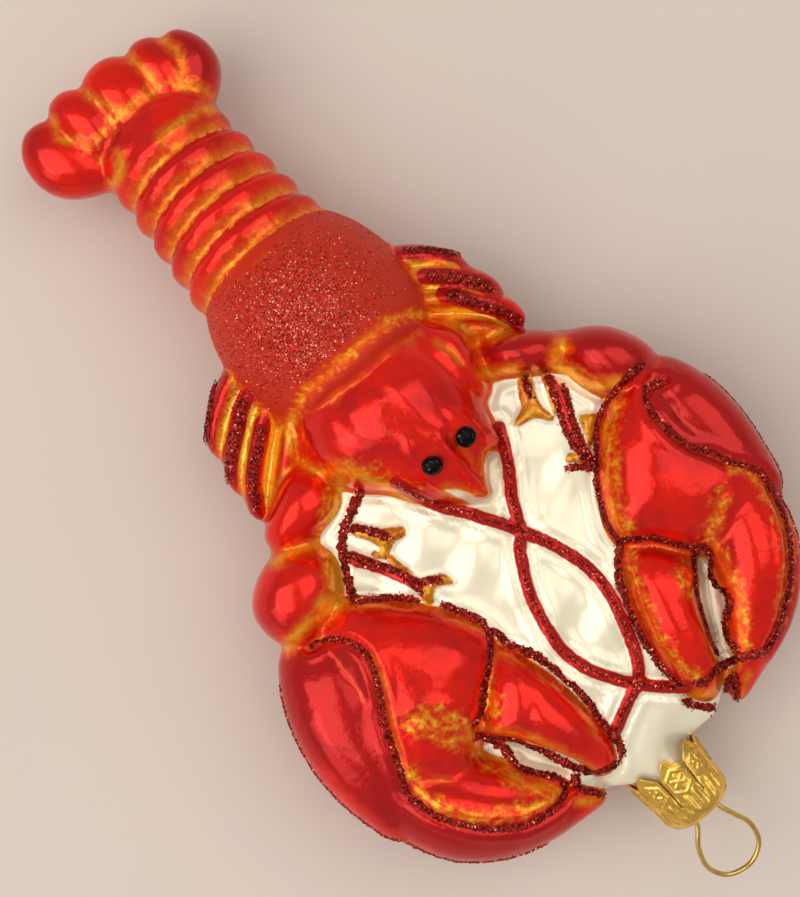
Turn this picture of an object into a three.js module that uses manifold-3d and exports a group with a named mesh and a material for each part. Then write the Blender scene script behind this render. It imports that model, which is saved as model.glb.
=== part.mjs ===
// A mouth-blown glass tree ornament in the form of a cooked lobster, lying belly down.
// It was blown in a two-part mould, so every form in it swells up and down from one flat seam.
// Millimetres, +Z up, +Y towards the tail fan, -Y towards the head, claws and hanging cap.
// The origin is under the middle of the ornament, on the surface that it lies on.

import * as THREE from "three";
import { mergeVertices } from "three/addons/utils/BufferGeometryUtils.js";
import Module from "manifold-3d";

const wasm = await Module();
wasm.setup();

// Driving dimensions
const SEAM_HEIGHT = 13; // the mould's seam above the table
const BELLY = 13.4; // how far the deepest forms swell below the seam, cut flat at the table
const FULLNESS = 0.8; // 1 gives a form an elliptical section, less gives it squarer shoulders
const ROUND_ENDS = 0.6; // 1 tapers a limb like an egg, less gives it blunter ends
const TO_MIDDLE = [-0.39, -0.71, 0]; // carries the whole ornament over its origin

// Tail: the lengths of its rings along Y, their radii, and how far each arches back over its crown
const TAIL = {
  middle: 2.7, rear: 61.8, rings: 5, pitch: 4.6, gap: 0.14, root: 4,
  rearRadius: 8.9, frontRadius: 11.2, lip: 1.3, arch: 2, sides: 22,
};

// Neck, cap and hanging wire, on one axis at the seam's height
const AXIS_X = -1.2;
const NECK = { shoulder: -50, mouth: -64, radius: 4.7, bore: 3.4, boreDepth: 12 };
const CAP = {
  end: -66.2, tips: -56.2, radius: 5.6, flare: 0.8, skirt: 7, round: 2.2, wall: 0.4, prongs: 8,
};
const PRONG = { slotRoot: 3.6, shoulder: 1.7, slotWidth: 0.8, tipWidth: 1.7 };
const WIRE = { thickness: 0.8, legSpread: 4.2, holeGap: 0.35 };

// Materials
const finish = (color, roughness, metalness) =>
  new THREE.MeshStandardMaterial({ color, roughness, metalness });
const paintedGlass = finish(0xcf2318, 0.15, 0.4);
const stampedGold = finish(0xd19a2a, 0.32, 1.0);
const wireGold = finish(0xb8974a, 0.28, 1.0);

// A closed geometry as a solid that can be joined and cut.
function solid(geometry) {
  const bare = geometry.clone();
  for (const name of Object.keys(bare.attributes)) {
    if (name !== "position") bare.deleteAttribute(name);
  }
  const merged = mergeVertices(bare, 1e-3);
  const mesh = new wasm.Mesh({
    numProp: 3,
    vertProperties: merged.attributes.position.array,
    triVerts: new Uint32Array(merged.index.array),
  });
  return new wasm.Manifold(mesh);
}

// A joined solid as a mesh of the model.
function meshOf(shape, name, material) {
  const { numProp, numVert, vertProperties, triVerts } = shape.getMesh();
  const places = new Float32Array(numVert * 3);
  for (let i = 0; i < numVert; i++) {
    places.set(vertProperties.subarray(i * numProp, i * numProp + 3), i * 3);
  }
  const geometry = new THREE.BufferGeometry();
  geometry.setAttribute("position", new THREE.BufferAttribute(places, 3));
  geometry.setIndex(new THREE.BufferAttribute(triVerts, 1));
  geometry.computeVertexNormals();
  const mesh = new THREE.Mesh(geometry, material);
  mesh.name = name;
  return mesh;
}

const fuller = (value, fullness) => Math.sign(value) * Math.abs(value) ** fullness;

// A form swollen from a smooth outline at the seam: a ball whose girdle follows the outline,
// top above the seam and bottom below it, highest over the crown point.
function swell(outline, crown, top, { bottom = top, sides = 12, fullness = FULLNESS } = {}) {
  const points = outline.map(([x, y]) => new THREE.Vector3(x, y, 0));
  if (THREE.ShapeUtils.isClockWise(points)) points.reverse();
  const girdle = new THREE.CatmullRomCurve3(points, true, "centripetal");
  const ball = new THREE.SphereGeometry(1, sides, Math.round(sides / 2));
  const { position, uv } = ball.attributes;
  for (let i = 0; i < position.count; i++) {
    const latitude = (uv.getY(i) - 0.5) * Math.PI;
    const spot = new THREE.Vector3(...crown, 0);
    const rim = girdle.getPointAt(THREE.MathUtils.euclideanModulo(uv.getX(i), 1));
    spot.lerp(rim, fuller(Math.cos(latitude), fullness));
    const rise = fuller(Math.sin(latitude), fullness);
    position.setXYZ(i, spot.x, spot.y, SEAM_HEIGHT + (rise > 0 ? top : bottom) * rise);
  }
  return solid(ball);
}

// The value at a share of the way along a list of evenly spaced values.
function along(values, share) {
  const place = share * (values.length - 1);
  const before = Math.min(Math.floor(place), values.length - 2);
  return THREE.MathUtils.lerp(values[before], values[before + 1], place - before);
}

// A form swollen along a curved spine: a ball stretched from the spine's start to its end, with
// half-widths and tops listed along it. Its middle plane is lift above the seam.
function limb(spine, halfWidths, tops, options = {}) {
  const { bottoms = tops, lift = 0, sides = 10, steps = 8, ends = ROUND_ENDS } = options;
  const points = spine.map(([x, y]) => new THREE.Vector3(x, y, 0));
  const curve = new THREE.CatmullRomCurve3(points, false, "centripetal");
  const ball = new THREE.SphereGeometry(1, sides, steps);
  const { position, uv } = ball.attributes;
  for (let i = 0; i < position.count; i++) {
    const polar = (1 - uv.getY(i)) * Math.PI;
    const around = uv.getX(i) * 2 * Math.PI;
    const share = (1 - Math.cos(polar)) / 2;
    const centre = curve.getPointAt(share);
    const heading = curve.getTangentAt(share);
    const roundness = Math.sin(polar) ** ends;
    const aside = along(halfWidths, share) * roundness * Math.cos(around);
    const rise = Math.sin(around) * roundness * along(Math.sin(around) > 0 ? tops : bottoms, share);
    const [x, y] = [centre.x + heading.y * aside, centre.y - heading.x * aside];
    position.setXYZ(i, x, y, SEAM_HEIGHT + lift + rise);
  }
  return solid(ball);
}

// Tail fan: a middle plate with two plates each side, on a broad band.
function tailFan() {
  return [
    swell([[-15, 70], [-14.5, 75], [-11.7, 77.8], [-8, 77.4], [-5.4, 72], [-4, 67], [-6, 63.4], [-12.5, 66]],
      [-9.2, 70.6], 6),
    swell([[-7.8, 75], [-6.4, 78.4], [-3, 78.9], [0, 76], [1, 71], [-1.5, 64], [-6.5, 66.5]],
      [-3, 71.5], 7),
    swell([[-1.6, 74], [-0.8, 77.4], [3, 78.8], [6.6, 77.5], [8.6, 73], [7.8, 65.5], [3, 63.5],
      [-1.4, 65.5]], [3.2, 71], 7.8),
    swell([[6.9, 75.5], [9, 77.4], [12, 76.6], [14.2, 73], [12.6, 64.8], [7.4, 63.4], [6, 70]],
      [9.8, 70.6], 7),
    swell([[11.8, 74.6], [15.3, 75.3], [17.8, 72], [18, 68], [16, 65], [11.5, 62.8], [9, 66], [10.6, 72]],
      [13.4, 68.8], 6),
    swell([[-7.2, 62], [-6.2, 66], [-2, 68.9], [3, 69.4], [8, 68.6], [11.6, 66.2], [12.9, 62], [9, 58],
      [-3, 58]], [2.8, 63.2], 9.2, { bottom: 8.8, sides: 16 }),
  ];
}

// Tail rings: each swells just behind its rear edge and tucks in towards the next one.
function tailRings() {
  const steps = 4;
  const lean = 0.6; // below 1 carries each swelling towards the ring's rear edge
  const length = TAIL.rings * TAIL.pitch;
  const root = -length - TAIL.root;
  const profile = [new THREE.Vector2(0, root), new THREE.Vector2(TAIL.frontRadius, root)];
  for (let ring = TAIL.rings - 1; ring >= 0; ring--) {
    for (let step = steps - 1; step >= 0; step--) {
      const share = step / (steps - 1);
      const back = ring * TAIL.pitch + THREE.MathUtils.lerp(TAIL.gap, TAIL.pitch - TAIL.gap, share);
      const radius = THREE.MathUtils.lerp(TAIL.rearRadius, TAIL.frontRadius, back / length);
      profile.push(new THREE.Vector2(radius + TAIL.lip * Math.sin(Math.PI * share ** lean), -back));
    }
  }
  profile.push(new THREE.Vector2(0, 0));
  const lathe = new THREE.LatheGeometry(profile, TAIL.sides);
  const { position } = lathe.attributes;
  for (let i = 0; i < position.count; i++) {
    const arch = (TAIL.arch * Math.abs(position.getZ(i))) / TAIL.frontRadius;
    position.setY(i, position.getY(i) + arch);
  }
  lathe.translate(TAIL.middle, TAIL.rear, SEAM_HEIGHT);
  return [solid(lathe)];
}

// Body: a core, the broad middle shell over it, the head shield with its right cheek and its brow.
function body() {
  const brow = { bottoms: [4, 4, 4, 4], sides: 8 };
  const browTops = [13.8, 13.8, 11.4, 7.8];
  return [
    limb([[3, 44], [3.3, 29], [3.4, 12], [5, -4]], [10, 13, 13.5, 11, 6], [11, 16, 15.6, 14, 9],
      { bottoms: [10, 12, 12, 11, 8] }),
    limb([[2.8, 44], [3.1, 34], [3.4, 26], [3.4, 19], [3.4, 11.6]], [13.4, 15.1, 15.7, 15.4, 13.6],
      [13.8, 17.6, 18.8, 18.6, 15.4],
      { bottoms: [11, 13.2, BELLY, BELLY, 12], sides: 20, steps: 12, ends: 0.45 }),
    swell([[-11.7, 13.4], [-9.6, 18], [-3, 20.8], [5, 20.8], [11.6, 18.6], [15, 12.6], [14.6, 5],
      [13.4, 0], [12.4, -4], [10.8, -5], [8.8, -4.2], [7.4, -5.6], [5.5, -10], [2.6, -8], [-0.6, -5.4],
      [-3.6, -2.4], [-5.6, 1], [-9.6, 5.2], [-11.5, 9.4]], [3.2, 9.5], 17.4, { bottom: 11.5, sides: 22 }),
    swell([[9.6, 18.6], [14.4, 18.4], [18.5, 13.4], [17.6, 7.2], [15.4, 2.6], [11.6, 2.6], [10, 10]],
      [13.2, 11.4], 13, { bottom: 10 }),
    limb([[10.4, 4.4], [9.4, 0.2], [6.9, -4.4], [5.6, -9]], [2.4, 2.5, 1.5, 0.9], browTops, brow),
    limb([[0.2, 4.4], [1.4, 0], [3.4, -4.4], [5.4, -9]], [2.4, 2.5, 1.7, 0.9], browTops, brow),
  ];
}

// Walking legs folded along each flank, as bars on a thin web.
const FOLDED_LEGS = [
  [[-8, 31], [-15, 28.2], [-19.8, 24.6], [-20.9, 21.6]],
  [[-8, 28], [-15.6, 24], [-21, 18.8], [-22.4, 15.8]],
  [[-8, 24.6], [-15.8, 19.6], [-21.6, 13.6], [-22.6, 11]],
  [[-8, 20.4], [-14, 15], [-18.6, 11.6], [-21.6, 9.4]],
  [[14, 30], [20.2, 25.6], [24.2, 21], [24.8, 18.4]],
  [[14, 26], [21.6, 20.6], [25.8, 15.4], [26.1, 12.4]],
  [[14, 21.6], [22, 15.8], [25.9, 10.4], [26.3, 7.4]],
  [[14, 17], [19, 12.6], [22.4, 9.4], [24, 7]],
];
function foldedLegs() {
  const web = { bottom: 4.6 };
  const webs = [
    swell([[-6, 32], [-13, 30.4], [-19.4, 24.6], [-21.4, 16], [-19, 8], [-6, 7]], [-12, 20], 3.6, web),
    swell([[12, 30], [18.6, 27.6], [24, 20], [25, 11], [23, 5], [12, 4]], [18, 18], 3.6, web),
  ];
  const bar = (spine) => limb(spine, [2.4, 2.3, 2.2, 1.9], [9, 6.6, 5.6, 4.6], { sides: 8 });
  return [...webs, ...FOLDED_LEGS.map(bar)];
}

// Arms: two knuckles from each shoulder to each claw, over a thinner arm that joins them.
function arms() {
  const inner = { bottom: 8.5 };
  const outer = { bottom: 9.5, sides: 14 };
  return [
    limb([[-6, 8], [-16, 7], [-24, -0.6], [-26.4, -13]], [3, 3, 5, 6], [6.6, 6.8, 7.4, 8]),
    swell([[-14, 14], [-10.2, 11], [-11.2, 5.2], [-17, 3.8], [-23.8, 5.4], [-24.2, 8.6], [-19.4, 11.8]],
      [-17, 8.4], 10, inner),
    swell([[-24.4, 6], [-19.8, 4.6], [-17.2, 0.4], [-19.6, -4.6], [-25, -7.4], [-31, -7.2],
      [-33.2, -2.8], [-32.6, 1.6], [-29, 4.8]], [-25.6, -0.6], 11.6, outer),
    limb([[11, 6], [20, 4.4], [29, -1.6], [32, -14]], [3, 3, 4.6, 5.4], [6.6, 6.8, 7.4, 8]),
    swell([[18, 9.2], [21.5, 8.9], [25.2, 7], [29.2, 2.8], [29, 0], [25, -0.6], [20.4, 1.6], [17, 5.6]],
      [22.8, 4.4], 10, inner),
    swell([[28.2, 2.8], [33.2, 1], [36.4, -2.6], [38, -8.8], [34, -12.4], [29, -10.4], [26.2, -5.4],
      [25.8, -0.6]], [31.8, -4.4], 11.6, outer),
  ];
}

// Claws: a palm, the outer swelling beyond its S-shaped furrow, the flank that runs on from it, the
// fixed finger and the thumb, over a core that keeps the furrow shallow.
function claws() {
  const palm = { bottom: BELLY, sides: 18 };
  const outer = { bottom: 10.5, sides: 16 };
  const flank = { bottoms: [9.6, 9.6, 9.6, 9.6, 8.6] };
  const finger = { bottoms: [10, 10.6, 10, 9, 7.6, 6.4], sides: 12, steps: 10 };
  const thumb = { bottom: 9, sides: 14 };
  const coreTops = [10.4, 11.8, 11.8, 10.6];
  const flankTops = [9.6, 10.6, 10.6, 10.4, 9.2];
  const fingerTops = [12.6, 12.8, 12.2, 10.8, 9.2, 7.6];
  return [
    swell([[-21.5, -4.6], [-14.4, -10.8], [-9.4, -17.2], [-6.9, -24.2], [-10.4, -28.9], [-17.8, -34.4],
      [-25, -39], [-32, -38], [-33, -28], [-31, -20], [-30, -12], [-27, -6]], [-20.5, -21.5], 13.4, palm),
    swell([[-26, -5], [-33.6, -5.8], [-38.2, -11.6], [-40.8, -19], [-41.5, -26], [-40.6, -33],
      [-38.4, -39], [-33, -40], [-29, -32], [-25.6, -24], [-23, -15.5], [-23, -8.5]],
      [-32, -20.5], 11.6, outer),
    limb([[-25, -7], [-29, -19], [-29, -31], [-25, -42]], [7, 10, 9.4, 6], coreTops),
    limb([[-33, -18], [-33.3, -28.6], [-31.6, -35.2], [-28.4, -40.4], [-24, -44.5]], [5, 7, 7.1, 7, 5],
      flankTops, flank),
    limb([[-31, -27], [-30.8, -35], [-26.8, -41.4], [-21.6, -46.3], [-16.9, -49.6], [-10.8, -54]],
      [7.6, 9, 9.2, 8, 5.9, 2.2], fingerTops, finger),
    swell([[-8, -24.6], [-5.2, -31], [-4, -38], [-3.8, -45], [-5.4, -50.4], [-8, -51.6], [-11.2, -48.6],
      [-13.6, -43], [-16, -38], [-19.4, -33.6], [-16.4, -29.6], [-12, -26]], [-10.6, -36], 11.6, thumb),
    swell([[32.6, -7.4], [28, -8.6], [22.2, -12], [16.4, -19], [13.8, -25.8], [18.4, -30.4],
      [23.8, -36.6], [30, -39], [37, -36], [37.5, -26], [36.6, -18], [36, -10]], [26.4, -22], 13.4, palm),
    swell([[34, -7.6], [38.8, -9.6], [41.5, -15.6], [42.2, -22], [41.4, -29.4], [39.4, -36], [35.6, -37],
      [32.8, -29], [30.4, -22.6], [29.4, -17], [30, -12], [32, -9.4]], [36, -21], 11.6, outer),
    limb([[32, -10], [33, -20], [31.4, -31], [27, -42]], [5, 7.6, 8.4, 6], coreTops),
    limb([[34, -18], [34, -26.4], [32.1, -33.6], [29.1, -39.9], [25.4, -44.4]], [5, 6.9, 6.9, 6.7, 5],
      flankTops, flank),
    limb([[31.6, -27], [31.2, -35.4], [27.6, -42.1], [23.1, -47.2], [18.4, -51.1], [13.4, -56.2]],
      [7, 8.1, 8.2, 7.2, 5.4, 2.2], fingerTops, finger),
    swell([[15.4, -26], [11, -31.8], [8.8, -38], [7.6, -45], [8, -51], [10.6, -53.4], [14, -51.4],
      [16.4, -46], [18.6, -40.4], [22.4, -35], [21, -31], [18.4, -27.4]], [14.4, -37], 11.6, thumb),
  ];
}

// Ground between the claws, which runs under them and down to the neck, and the panes in their gapes.
function ground() {
  const paneTops = [5, 5, 5, 5];
  return [
    swell([[-24, 4], [-12, 11], [2, 13], [18, 8], [30, -1], [28, -14], [21, -26], [19, -42],
      [15, -51.5], [10.4, -54.8], [3.6, -55.4], [AXIS_X, -56], [-6, -55.4], [-9.6, -53.4], [-11, -48.6],
      [-15, -40], [-12, -26], [-21, -10]], [2.6, -22], 6.8, { sides: 20, fullness: 0.6 }),
    limb([[2.4, -34], [1, -45], [-0.8, -52], [AXIS_X, -57.5]], [8, 11, 8.4, 4.6], [7, 7.2, 6.4, 4.6],
      { sides: 14 }),
    limb([[-21, -32], [-17.4, -40], [-12.4, -47], [-8.6, -52.6]], [4, 5.6, 4, 2], paneTops),
    limb([[25, -32], [21, -40], [17, -47], [13.4, -53.4]], [4, 5.6, 4, 2], paneTops),
  ];
}

// Feelers from beside the beak, crossing twice on the ground, and the short legs beside them.
const FEELERS = [
  [[12.6, -3], [7.1, -11.7], [4.6, -17], [1.4, -21.8], [-1, -27.6], [-1, -33.8], [3.1, -43.5],
    [9, -49.6], [15, -51.6]],
  [[-3.4, 1.4], [0.4, -7.5], [5.5, -15.3], [8.2, -21.4], [9.6, -28.8], [9, -35.2], [3.4, -43.8],
    [-3, -47.6], [-9, -50]],
];
const SHORT_LEGS = [
  [[-14.4, 4], [-12.4, -1], [-8, -3.4]],
  [[-16.4, 1], [-12.6, -6.4], [-6.6, -9.6]],
  [[20.4, 3], [19.2, -2], [15.6, -4.4]],
  [[25.4, 1], [22, -7], [18.4, -14.6]],
];
function reliefOnGround() {
  const thin = { bottoms: [3, 3, 3], lift: 6, sides: 6 };
  return [
    ...FEELERS.map((spine) => limb(spine, [1, 0.9, 0.8], [2.2, 2.4, 2], { ...thin, steps: 14 })),
    ...SHORT_LEGS.map((spine) => limb(spine, [1.3, 1.2, 0.9], [2.6, 2.4, 2], thin)),
  ];
}

// Eyes: a bead of paint on each brow.
const EYES = { radius: 1.5, places: [[2, 0.7, 26.4], [8.2, 0.7, 26.4]] };
function eyes() {
  return EYES.places.map((place) => solid(new THREE.SphereGeometry(EYES.radius, 8, 6).translate(...place)));
}

// Neck: the blown tube inside the cap, with the bore that holds the wire.
function neckTube() {
  const length = NECK.shoulder - NECK.mouth;
  const tube = new THREE.CylinderGeometry(NECK.radius, NECK.radius, length, 20);
  tube.translate(AXIS_X, NECK.mouth + length / 2, SEAM_HEIGHT);
  return solid(tube);
}
function neckBore() {
  const past = 1; // how far the cut starts outside the mouth
  const bore = new THREE.CylinderGeometry(NECK.bore, NECK.bore, NECK.boreDepth + past, 12);
  bore.translate(AXIS_X, NECK.mouth + (NECK.boreDepth - past) / 2, SEAM_HEIGHT);
  return solid(bore);
}

// Joins the forms, opens the neck and cuts the belly flat where the ornament rests.
function glassFigure() {
  const forms = [tailFan(), tailRings(), body(), foldedLegs(), arms(), claws(), ground(),
    reliefOnGround(), eyes(), neckTube()].flat();
  const joined = forms.reduce((whole, form) => whole.add(form));
  const table = new THREE.BoxGeometry(200, 300, 20);
  table.translate(0, 0, -table.parameters.depth / 2);
  return meshOf(joined.subtract(neckBore()).subtract(solid(table)), "glass_lobster", paintedGlass);
}

// Cap: a thin cup with a rounded end, slotted into pointed prongs, with two holes for the wire.
function cap() {
  const depth = CAP.tips - CAP.end;
  const rings = 3;
  const outside = [new THREE.Vector2(0, 0)];
  for (let ring = 0; ring <= rings; ring++) {
    const turn = (ring / rings) * (Math.PI / 2);
    const radius = CAP.radius - CAP.round * (1 - Math.sin(turn));
    outside.push(new THREE.Vector2(radius, CAP.round * (1 - Math.cos(turn))));
  }
  outside.push(new THREE.Vector2(CAP.radius + CAP.flare / 3, CAP.skirt));
  outside.push(new THREE.Vector2(CAP.radius + CAP.flare, depth));
  const inside = outside.map(({ x, y }) => {
    const inEnd = Math.max(0, 1 - y / CAP.round);
    return new THREE.Vector2(Math.max(0, x - CAP.wall * (1 - inEnd)), y + CAP.wall * inEnd);
  });
  let shell = solid(new THREE.LatheGeometry([...outside, ...inside.reverse()], CAP.prongs * 3));
  for (let prong = 0; prong < CAP.prongs; prong++) {
    const turn = ((prong + 0.5) / CAP.prongs) * 2 * Math.PI;
    shell = shell.subtract(solid(prongSlot(depth).rotateY(turn)));
  }
  const holeRadius = WIRE.thickness / 2 + WIRE.holeGap;
  for (const side of [-1, 1]) {
    const hole = new THREE.CylinderGeometry(holeRadius, holeRadius, 2 * CAP.round, 8);
    hole.translate((side * WIRE.legSpread) / 2, 0, 0);
    shell = shell.subtract(solid(hole));
  }
  const mesh = meshOf(shell, "cap", stampedGold);
  mesh.position.set(AXIS_X, CAP.end, SEAM_HEIGHT);
  return mesh;
}

// The cut between two prongs: a narrow slot that opens into a V, which leaves the prongs pointed.
function prongSlot(depth) {
  const mouth = (Math.PI * (CAP.radius + CAP.flare)) / CAP.prongs - PRONG.tipWidth / 2;
  const beyond = depth + 0.1;
  const cut = new THREE.Shape();
  cut.moveTo(-PRONG.slotWidth / 4, PRONG.slotRoot);
  cut.lineTo(PRONG.slotWidth / 4, PRONG.slotRoot);
  cut.lineTo(PRONG.slotWidth / 2, depth - PRONG.shoulder);
  cut.lineTo(mouth, beyond);
  cut.lineTo(-mouth, beyond);
  cut.lineTo(-PRONG.slotWidth / 2, depth - PRONG.shoulder);
  return new THREE.ExtrudeGeometry(cut, { depth: 2 * CAP.radius, bevelEnabled: false });
}

// Hanging wire: a loop whose two legs pass through the cap and spread inside the neck.
function hangingWire() {
  const half = WIRE.legSpread / 2;
  const route = [[-half - 0.3, -56], [-half - 0.1, -60], [-half, -64], [-half - 0.1, -66.4, -0.1],
    [-4.2, -69.2, -0.8], [-5.2, -72.8, -2], [-3.6, -76, -3.2], [0.2, -77, -3.6], [3.2, -75.2, -3],
    [4, -71.8, -1.8], [3.1, -69, -0.7], [half + 0.1, -66.4, -0.1], [half, -64], [half + 0.1, -60],
    [half + 0.3, -56]];
  const points = route.map(([x, y, z = 0]) => new THREE.Vector3(AXIS_X + x, y, SEAM_HEIGHT + z));
  const path = new THREE.CatmullRomCurve3(points, false, "centripetal");
  const section = new THREE.Shape();
  section.absarc(0, 0, WIRE.thickness / 2, 0, 2 * Math.PI);
  const wire = new THREE.ExtrudeGeometry(section, { steps: 42, curveSegments: 4, extrudePath: path });
  return meshOf(solid(wire), "hanging_wire", wireGold);
}

const ornament = new THREE.Group();
ornament.add(glassFigure(), cap(), hangingWire());
ornament.position.set(...TO_MIDDLE);

export default ornament;
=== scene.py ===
"""The looks of a blown-glass tree ornament in the form of a cooked lobster: silvered glass under
red, amber and pearl lacquer, glitter lines, painted eyes, a stamped gold cap and a wire loop.

Shapes are measured in millimetres from the mould's own axes, and TO_MIDDLE moves them to the
ornament's frame. The settings and what Blender is handed are in metres."""

import math

import bpy
import numpy as np
from bpy.props import FloatProperty, FloatVectorProperty, IntProperty, PointerProperty
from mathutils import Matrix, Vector
from mathutils.bvhtree import BVHTree


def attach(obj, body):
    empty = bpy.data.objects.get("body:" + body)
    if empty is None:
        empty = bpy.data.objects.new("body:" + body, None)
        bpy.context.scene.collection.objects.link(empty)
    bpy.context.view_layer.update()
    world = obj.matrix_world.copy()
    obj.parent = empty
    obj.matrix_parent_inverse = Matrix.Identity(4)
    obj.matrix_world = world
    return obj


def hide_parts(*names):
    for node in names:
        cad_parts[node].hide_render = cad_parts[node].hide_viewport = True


bl_info = {
    "name": "Glass Lobster Ornament",
    "version": (1, 0, 0),
    "blender": (4, 5, 0),
    "location": "View3D > Sidebar > Ornament",
    "description": "Blown-glass lobster with painted lacquer, glitter, cap and hanging wire",
    "category": "Add Mesh",
}

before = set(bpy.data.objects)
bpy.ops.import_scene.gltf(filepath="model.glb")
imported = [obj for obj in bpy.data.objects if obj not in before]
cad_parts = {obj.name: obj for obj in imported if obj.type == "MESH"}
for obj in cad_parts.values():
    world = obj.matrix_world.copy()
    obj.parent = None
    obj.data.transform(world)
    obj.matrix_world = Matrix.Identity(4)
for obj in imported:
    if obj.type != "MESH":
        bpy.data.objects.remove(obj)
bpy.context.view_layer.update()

MM = 0.001
TINY = 1e-9  # stands in for a length of nothing where it is divided by
SEAM = 13.0  # height of the mould's seam above the table
BELLY = 13.4  # depth of the deepest forms below the seam
AXIS_X = -1.2  # the neck's axis
TO_MIDDLE = np.array([-0.39, -0.71, 0.0])
VIEW = np.array([0, 5.55, 300])  # the camera over the forms


# --- Lines and numbers -------------------------------------------------------------------------


def blend(a, b, start, end, t):
    """From a where t is at start to b where it is at end."""
    return a + (b - a) * (t - start) / (end - start)


def smooth_line(points, closed=False, per_span=12):
    """A centripetal curve through the points, as close-set points."""
    p = np.array(points, float)
    if closed:
        p = np.vstack([p[-1], p, p[0], p[1]])
    else:
        p = np.vstack([2 * p[0] - p[1], p, 2 * p[-1] - p[-2]])
    out = []
    for a, b, c, d in zip(p, p[1:], p[2:], p[3:]):
        steps = [max(np.linalg.norm(way), TINY) ** 0.5 for way in (b - a, c - b, d - c)]
        t0, t1, t2, t3 = np.cumsum([0.0, *steps])
        t = np.linspace(t1, t2, per_span, endpoint=False)[:, None]
        ab, bc, cd = blend(a, b, t0, t1, t), blend(b, c, t1, t2, t), blend(c, d, t2, t3, t)
        out.append(blend(blend(ab, bc, t0, t2, t), blend(bc, cd, t1, t3, t), t1, t2, t))
    out.append(p[-2][None])
    return np.vstack(out)


def walked(line):
    """How far along the line each of its points lies."""
    return np.concatenate([[0.0], np.cumsum(np.linalg.norm(np.diff(line, axis=0), axis=1))])


def at_share(line, share):
    """The points at these shares of the line's length."""
    length = walked(line)
    spots = np.asarray(share) * length[-1]
    return np.stack([np.interp(spots, length, axis) for axis in line.T], -1)


def in_steps(points, step=0.3):
    """A smooth line through the points, as points about this far apart."""
    line = smooth_line(points)
    return at_share(line, np.linspace(0, 1, max(int(walked(line)[-1] / step), 4)))


def listed(values, share):
    """The values at these shares along a list of evenly spaced values."""
    return np.interp(share, np.linspace(0, 1, len(values)), values)


def distance_to(line, places):
    """The distance of each place from the line, in the plane of the first two axes."""
    best = np.full(len(places), np.inf)
    for a, b in zip(line[:-1, :2], line[1:, :2]):
        way = b - a
        share = np.clip(((places[:, :2] - a) @ way) / max(way @ way, TINY ** 2), 0, 1)
        best = np.minimum(best, np.linalg.norm(places[:, :2] - a - share[:, None] * way, axis=1))
    return best


def to_length_one(vectors):
    return vectors / np.maximum(np.linalg.norm(vectors, axis=1), TINY)[:, None]


def ramp(values, low, high):
    """0 below low, 1 above high and a smooth step between."""
    share = np.clip((values - low) / (high - low), 0, 1)
    return share * share * (3 - 2 * share)


def ridge(away, rise, width, middle=0.0):
    """A ridge that is highest at this distance from a line and fades to either side."""
    return rise * np.exp(-((away - middle) / width) ** 2)


# --- Meshes ------------------------------------------------------------------------------------


def add_object(name, data):
    thing = bpy.data.objects.new(name, data)
    bpy.context.collection.objects.link(thing)
    return thing


def new_mesh(name, places, faces=(), edges=()):
    """A new piece from places in mm and its faces or edges."""
    mesh = bpy.data.meshes.new(name)
    mesh.from_pydata((np.asarray(places) * MM).tolist(), edges, [tuple(face) for face in faces])
    return add_object(name, mesh)


def mesh_places(piece):
    places = np.empty(len(piece.data.vertices) * 3)
    piece.data.vertices.foreach_get("co", places)
    return places.reshape(-1, 3)


def move_mesh(piece, places):
    piece.data.vertices.foreach_set("co", np.ascontiguousarray(places, float).ravel())
    piece.data.update()


def normals_of(piece):
    normals = np.empty(len(piece.data.vertices) * 3)
    piece.data.vertex_normals.foreach_get("vector", normals)
    return normals.reshape(-1, 3)


def select_only(*pieces):
    """Selects these pieces alone. The first is the active one."""
    bpy.ops.object.select_all(action="DESELECT")
    for piece in pieces:
        piece.select_set(True)
    bpy.context.view_layer.objects.active = pieces[0]


def join(pieces, name):
    select_only(*pieces)
    if len(pieces) > 1:
        bpy.ops.object.join()
    pieces[0].name = pieces[0].data.name = name
    return pieces[0]


def weld(piece, distance):
    """Merges vertices that lie closer than this, in mm, and turns all faces outwards."""
    select_only(piece)
    bpy.ops.object.mode_set(mode="EDIT")
    bpy.ops.mesh.select_all(action="SELECT")
    bpy.ops.mesh.remove_doubles(threshold=distance * MM)
    bpy.ops.mesh.normals_make_consistent(inside=False)
    bpy.ops.object.mode_set(mode="OBJECT")


def apply_modifier(piece, kind, **settings):
    select_only(piece)
    modifier = piece.modifiers.new(kind.title(), kind)
    for name, value in settings.items():
        setattr(modifier, name, value)
    bpy.ops.object.modifier_apply(modifier=modifier.name)


def tree_of(piece):
    """The piece's surface, for finding its nearest point and for dropping lines onto it."""
    return BVHTree.FromPolygons([v.co for v in piece.data.vertices],
                                [tuple(p.vertices) for p in piece.data.polygons])


def distances(tree, places):
    """The distance of each place, in metres, from a surface, in mm."""
    return np.array([tree.find_nearest(Vector(place))[3] for place in places]) / MM


def add_floats(piece, name, values):
    attribute = piece.data.attributes.new(name, "FLOAT", "POINT")
    attribute.data.foreach_set("value", np.ascontiguousarray(values, np.float32))


def finish_piece(piece, material, replaced=None, flat=False):
    """Gives a finished piece its finish and lets it ride on the ornament."""
    piece.data.materials.clear()
    piece.data.materials.append(material)
    if flat:
        piece.data.shade_flat()
    else:
        piece.data.shade_smooth()
    if replaced:
        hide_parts(replaced)
    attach(piece, "root")


# --- The moulded forms -------------------------------------------------------------------------

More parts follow.
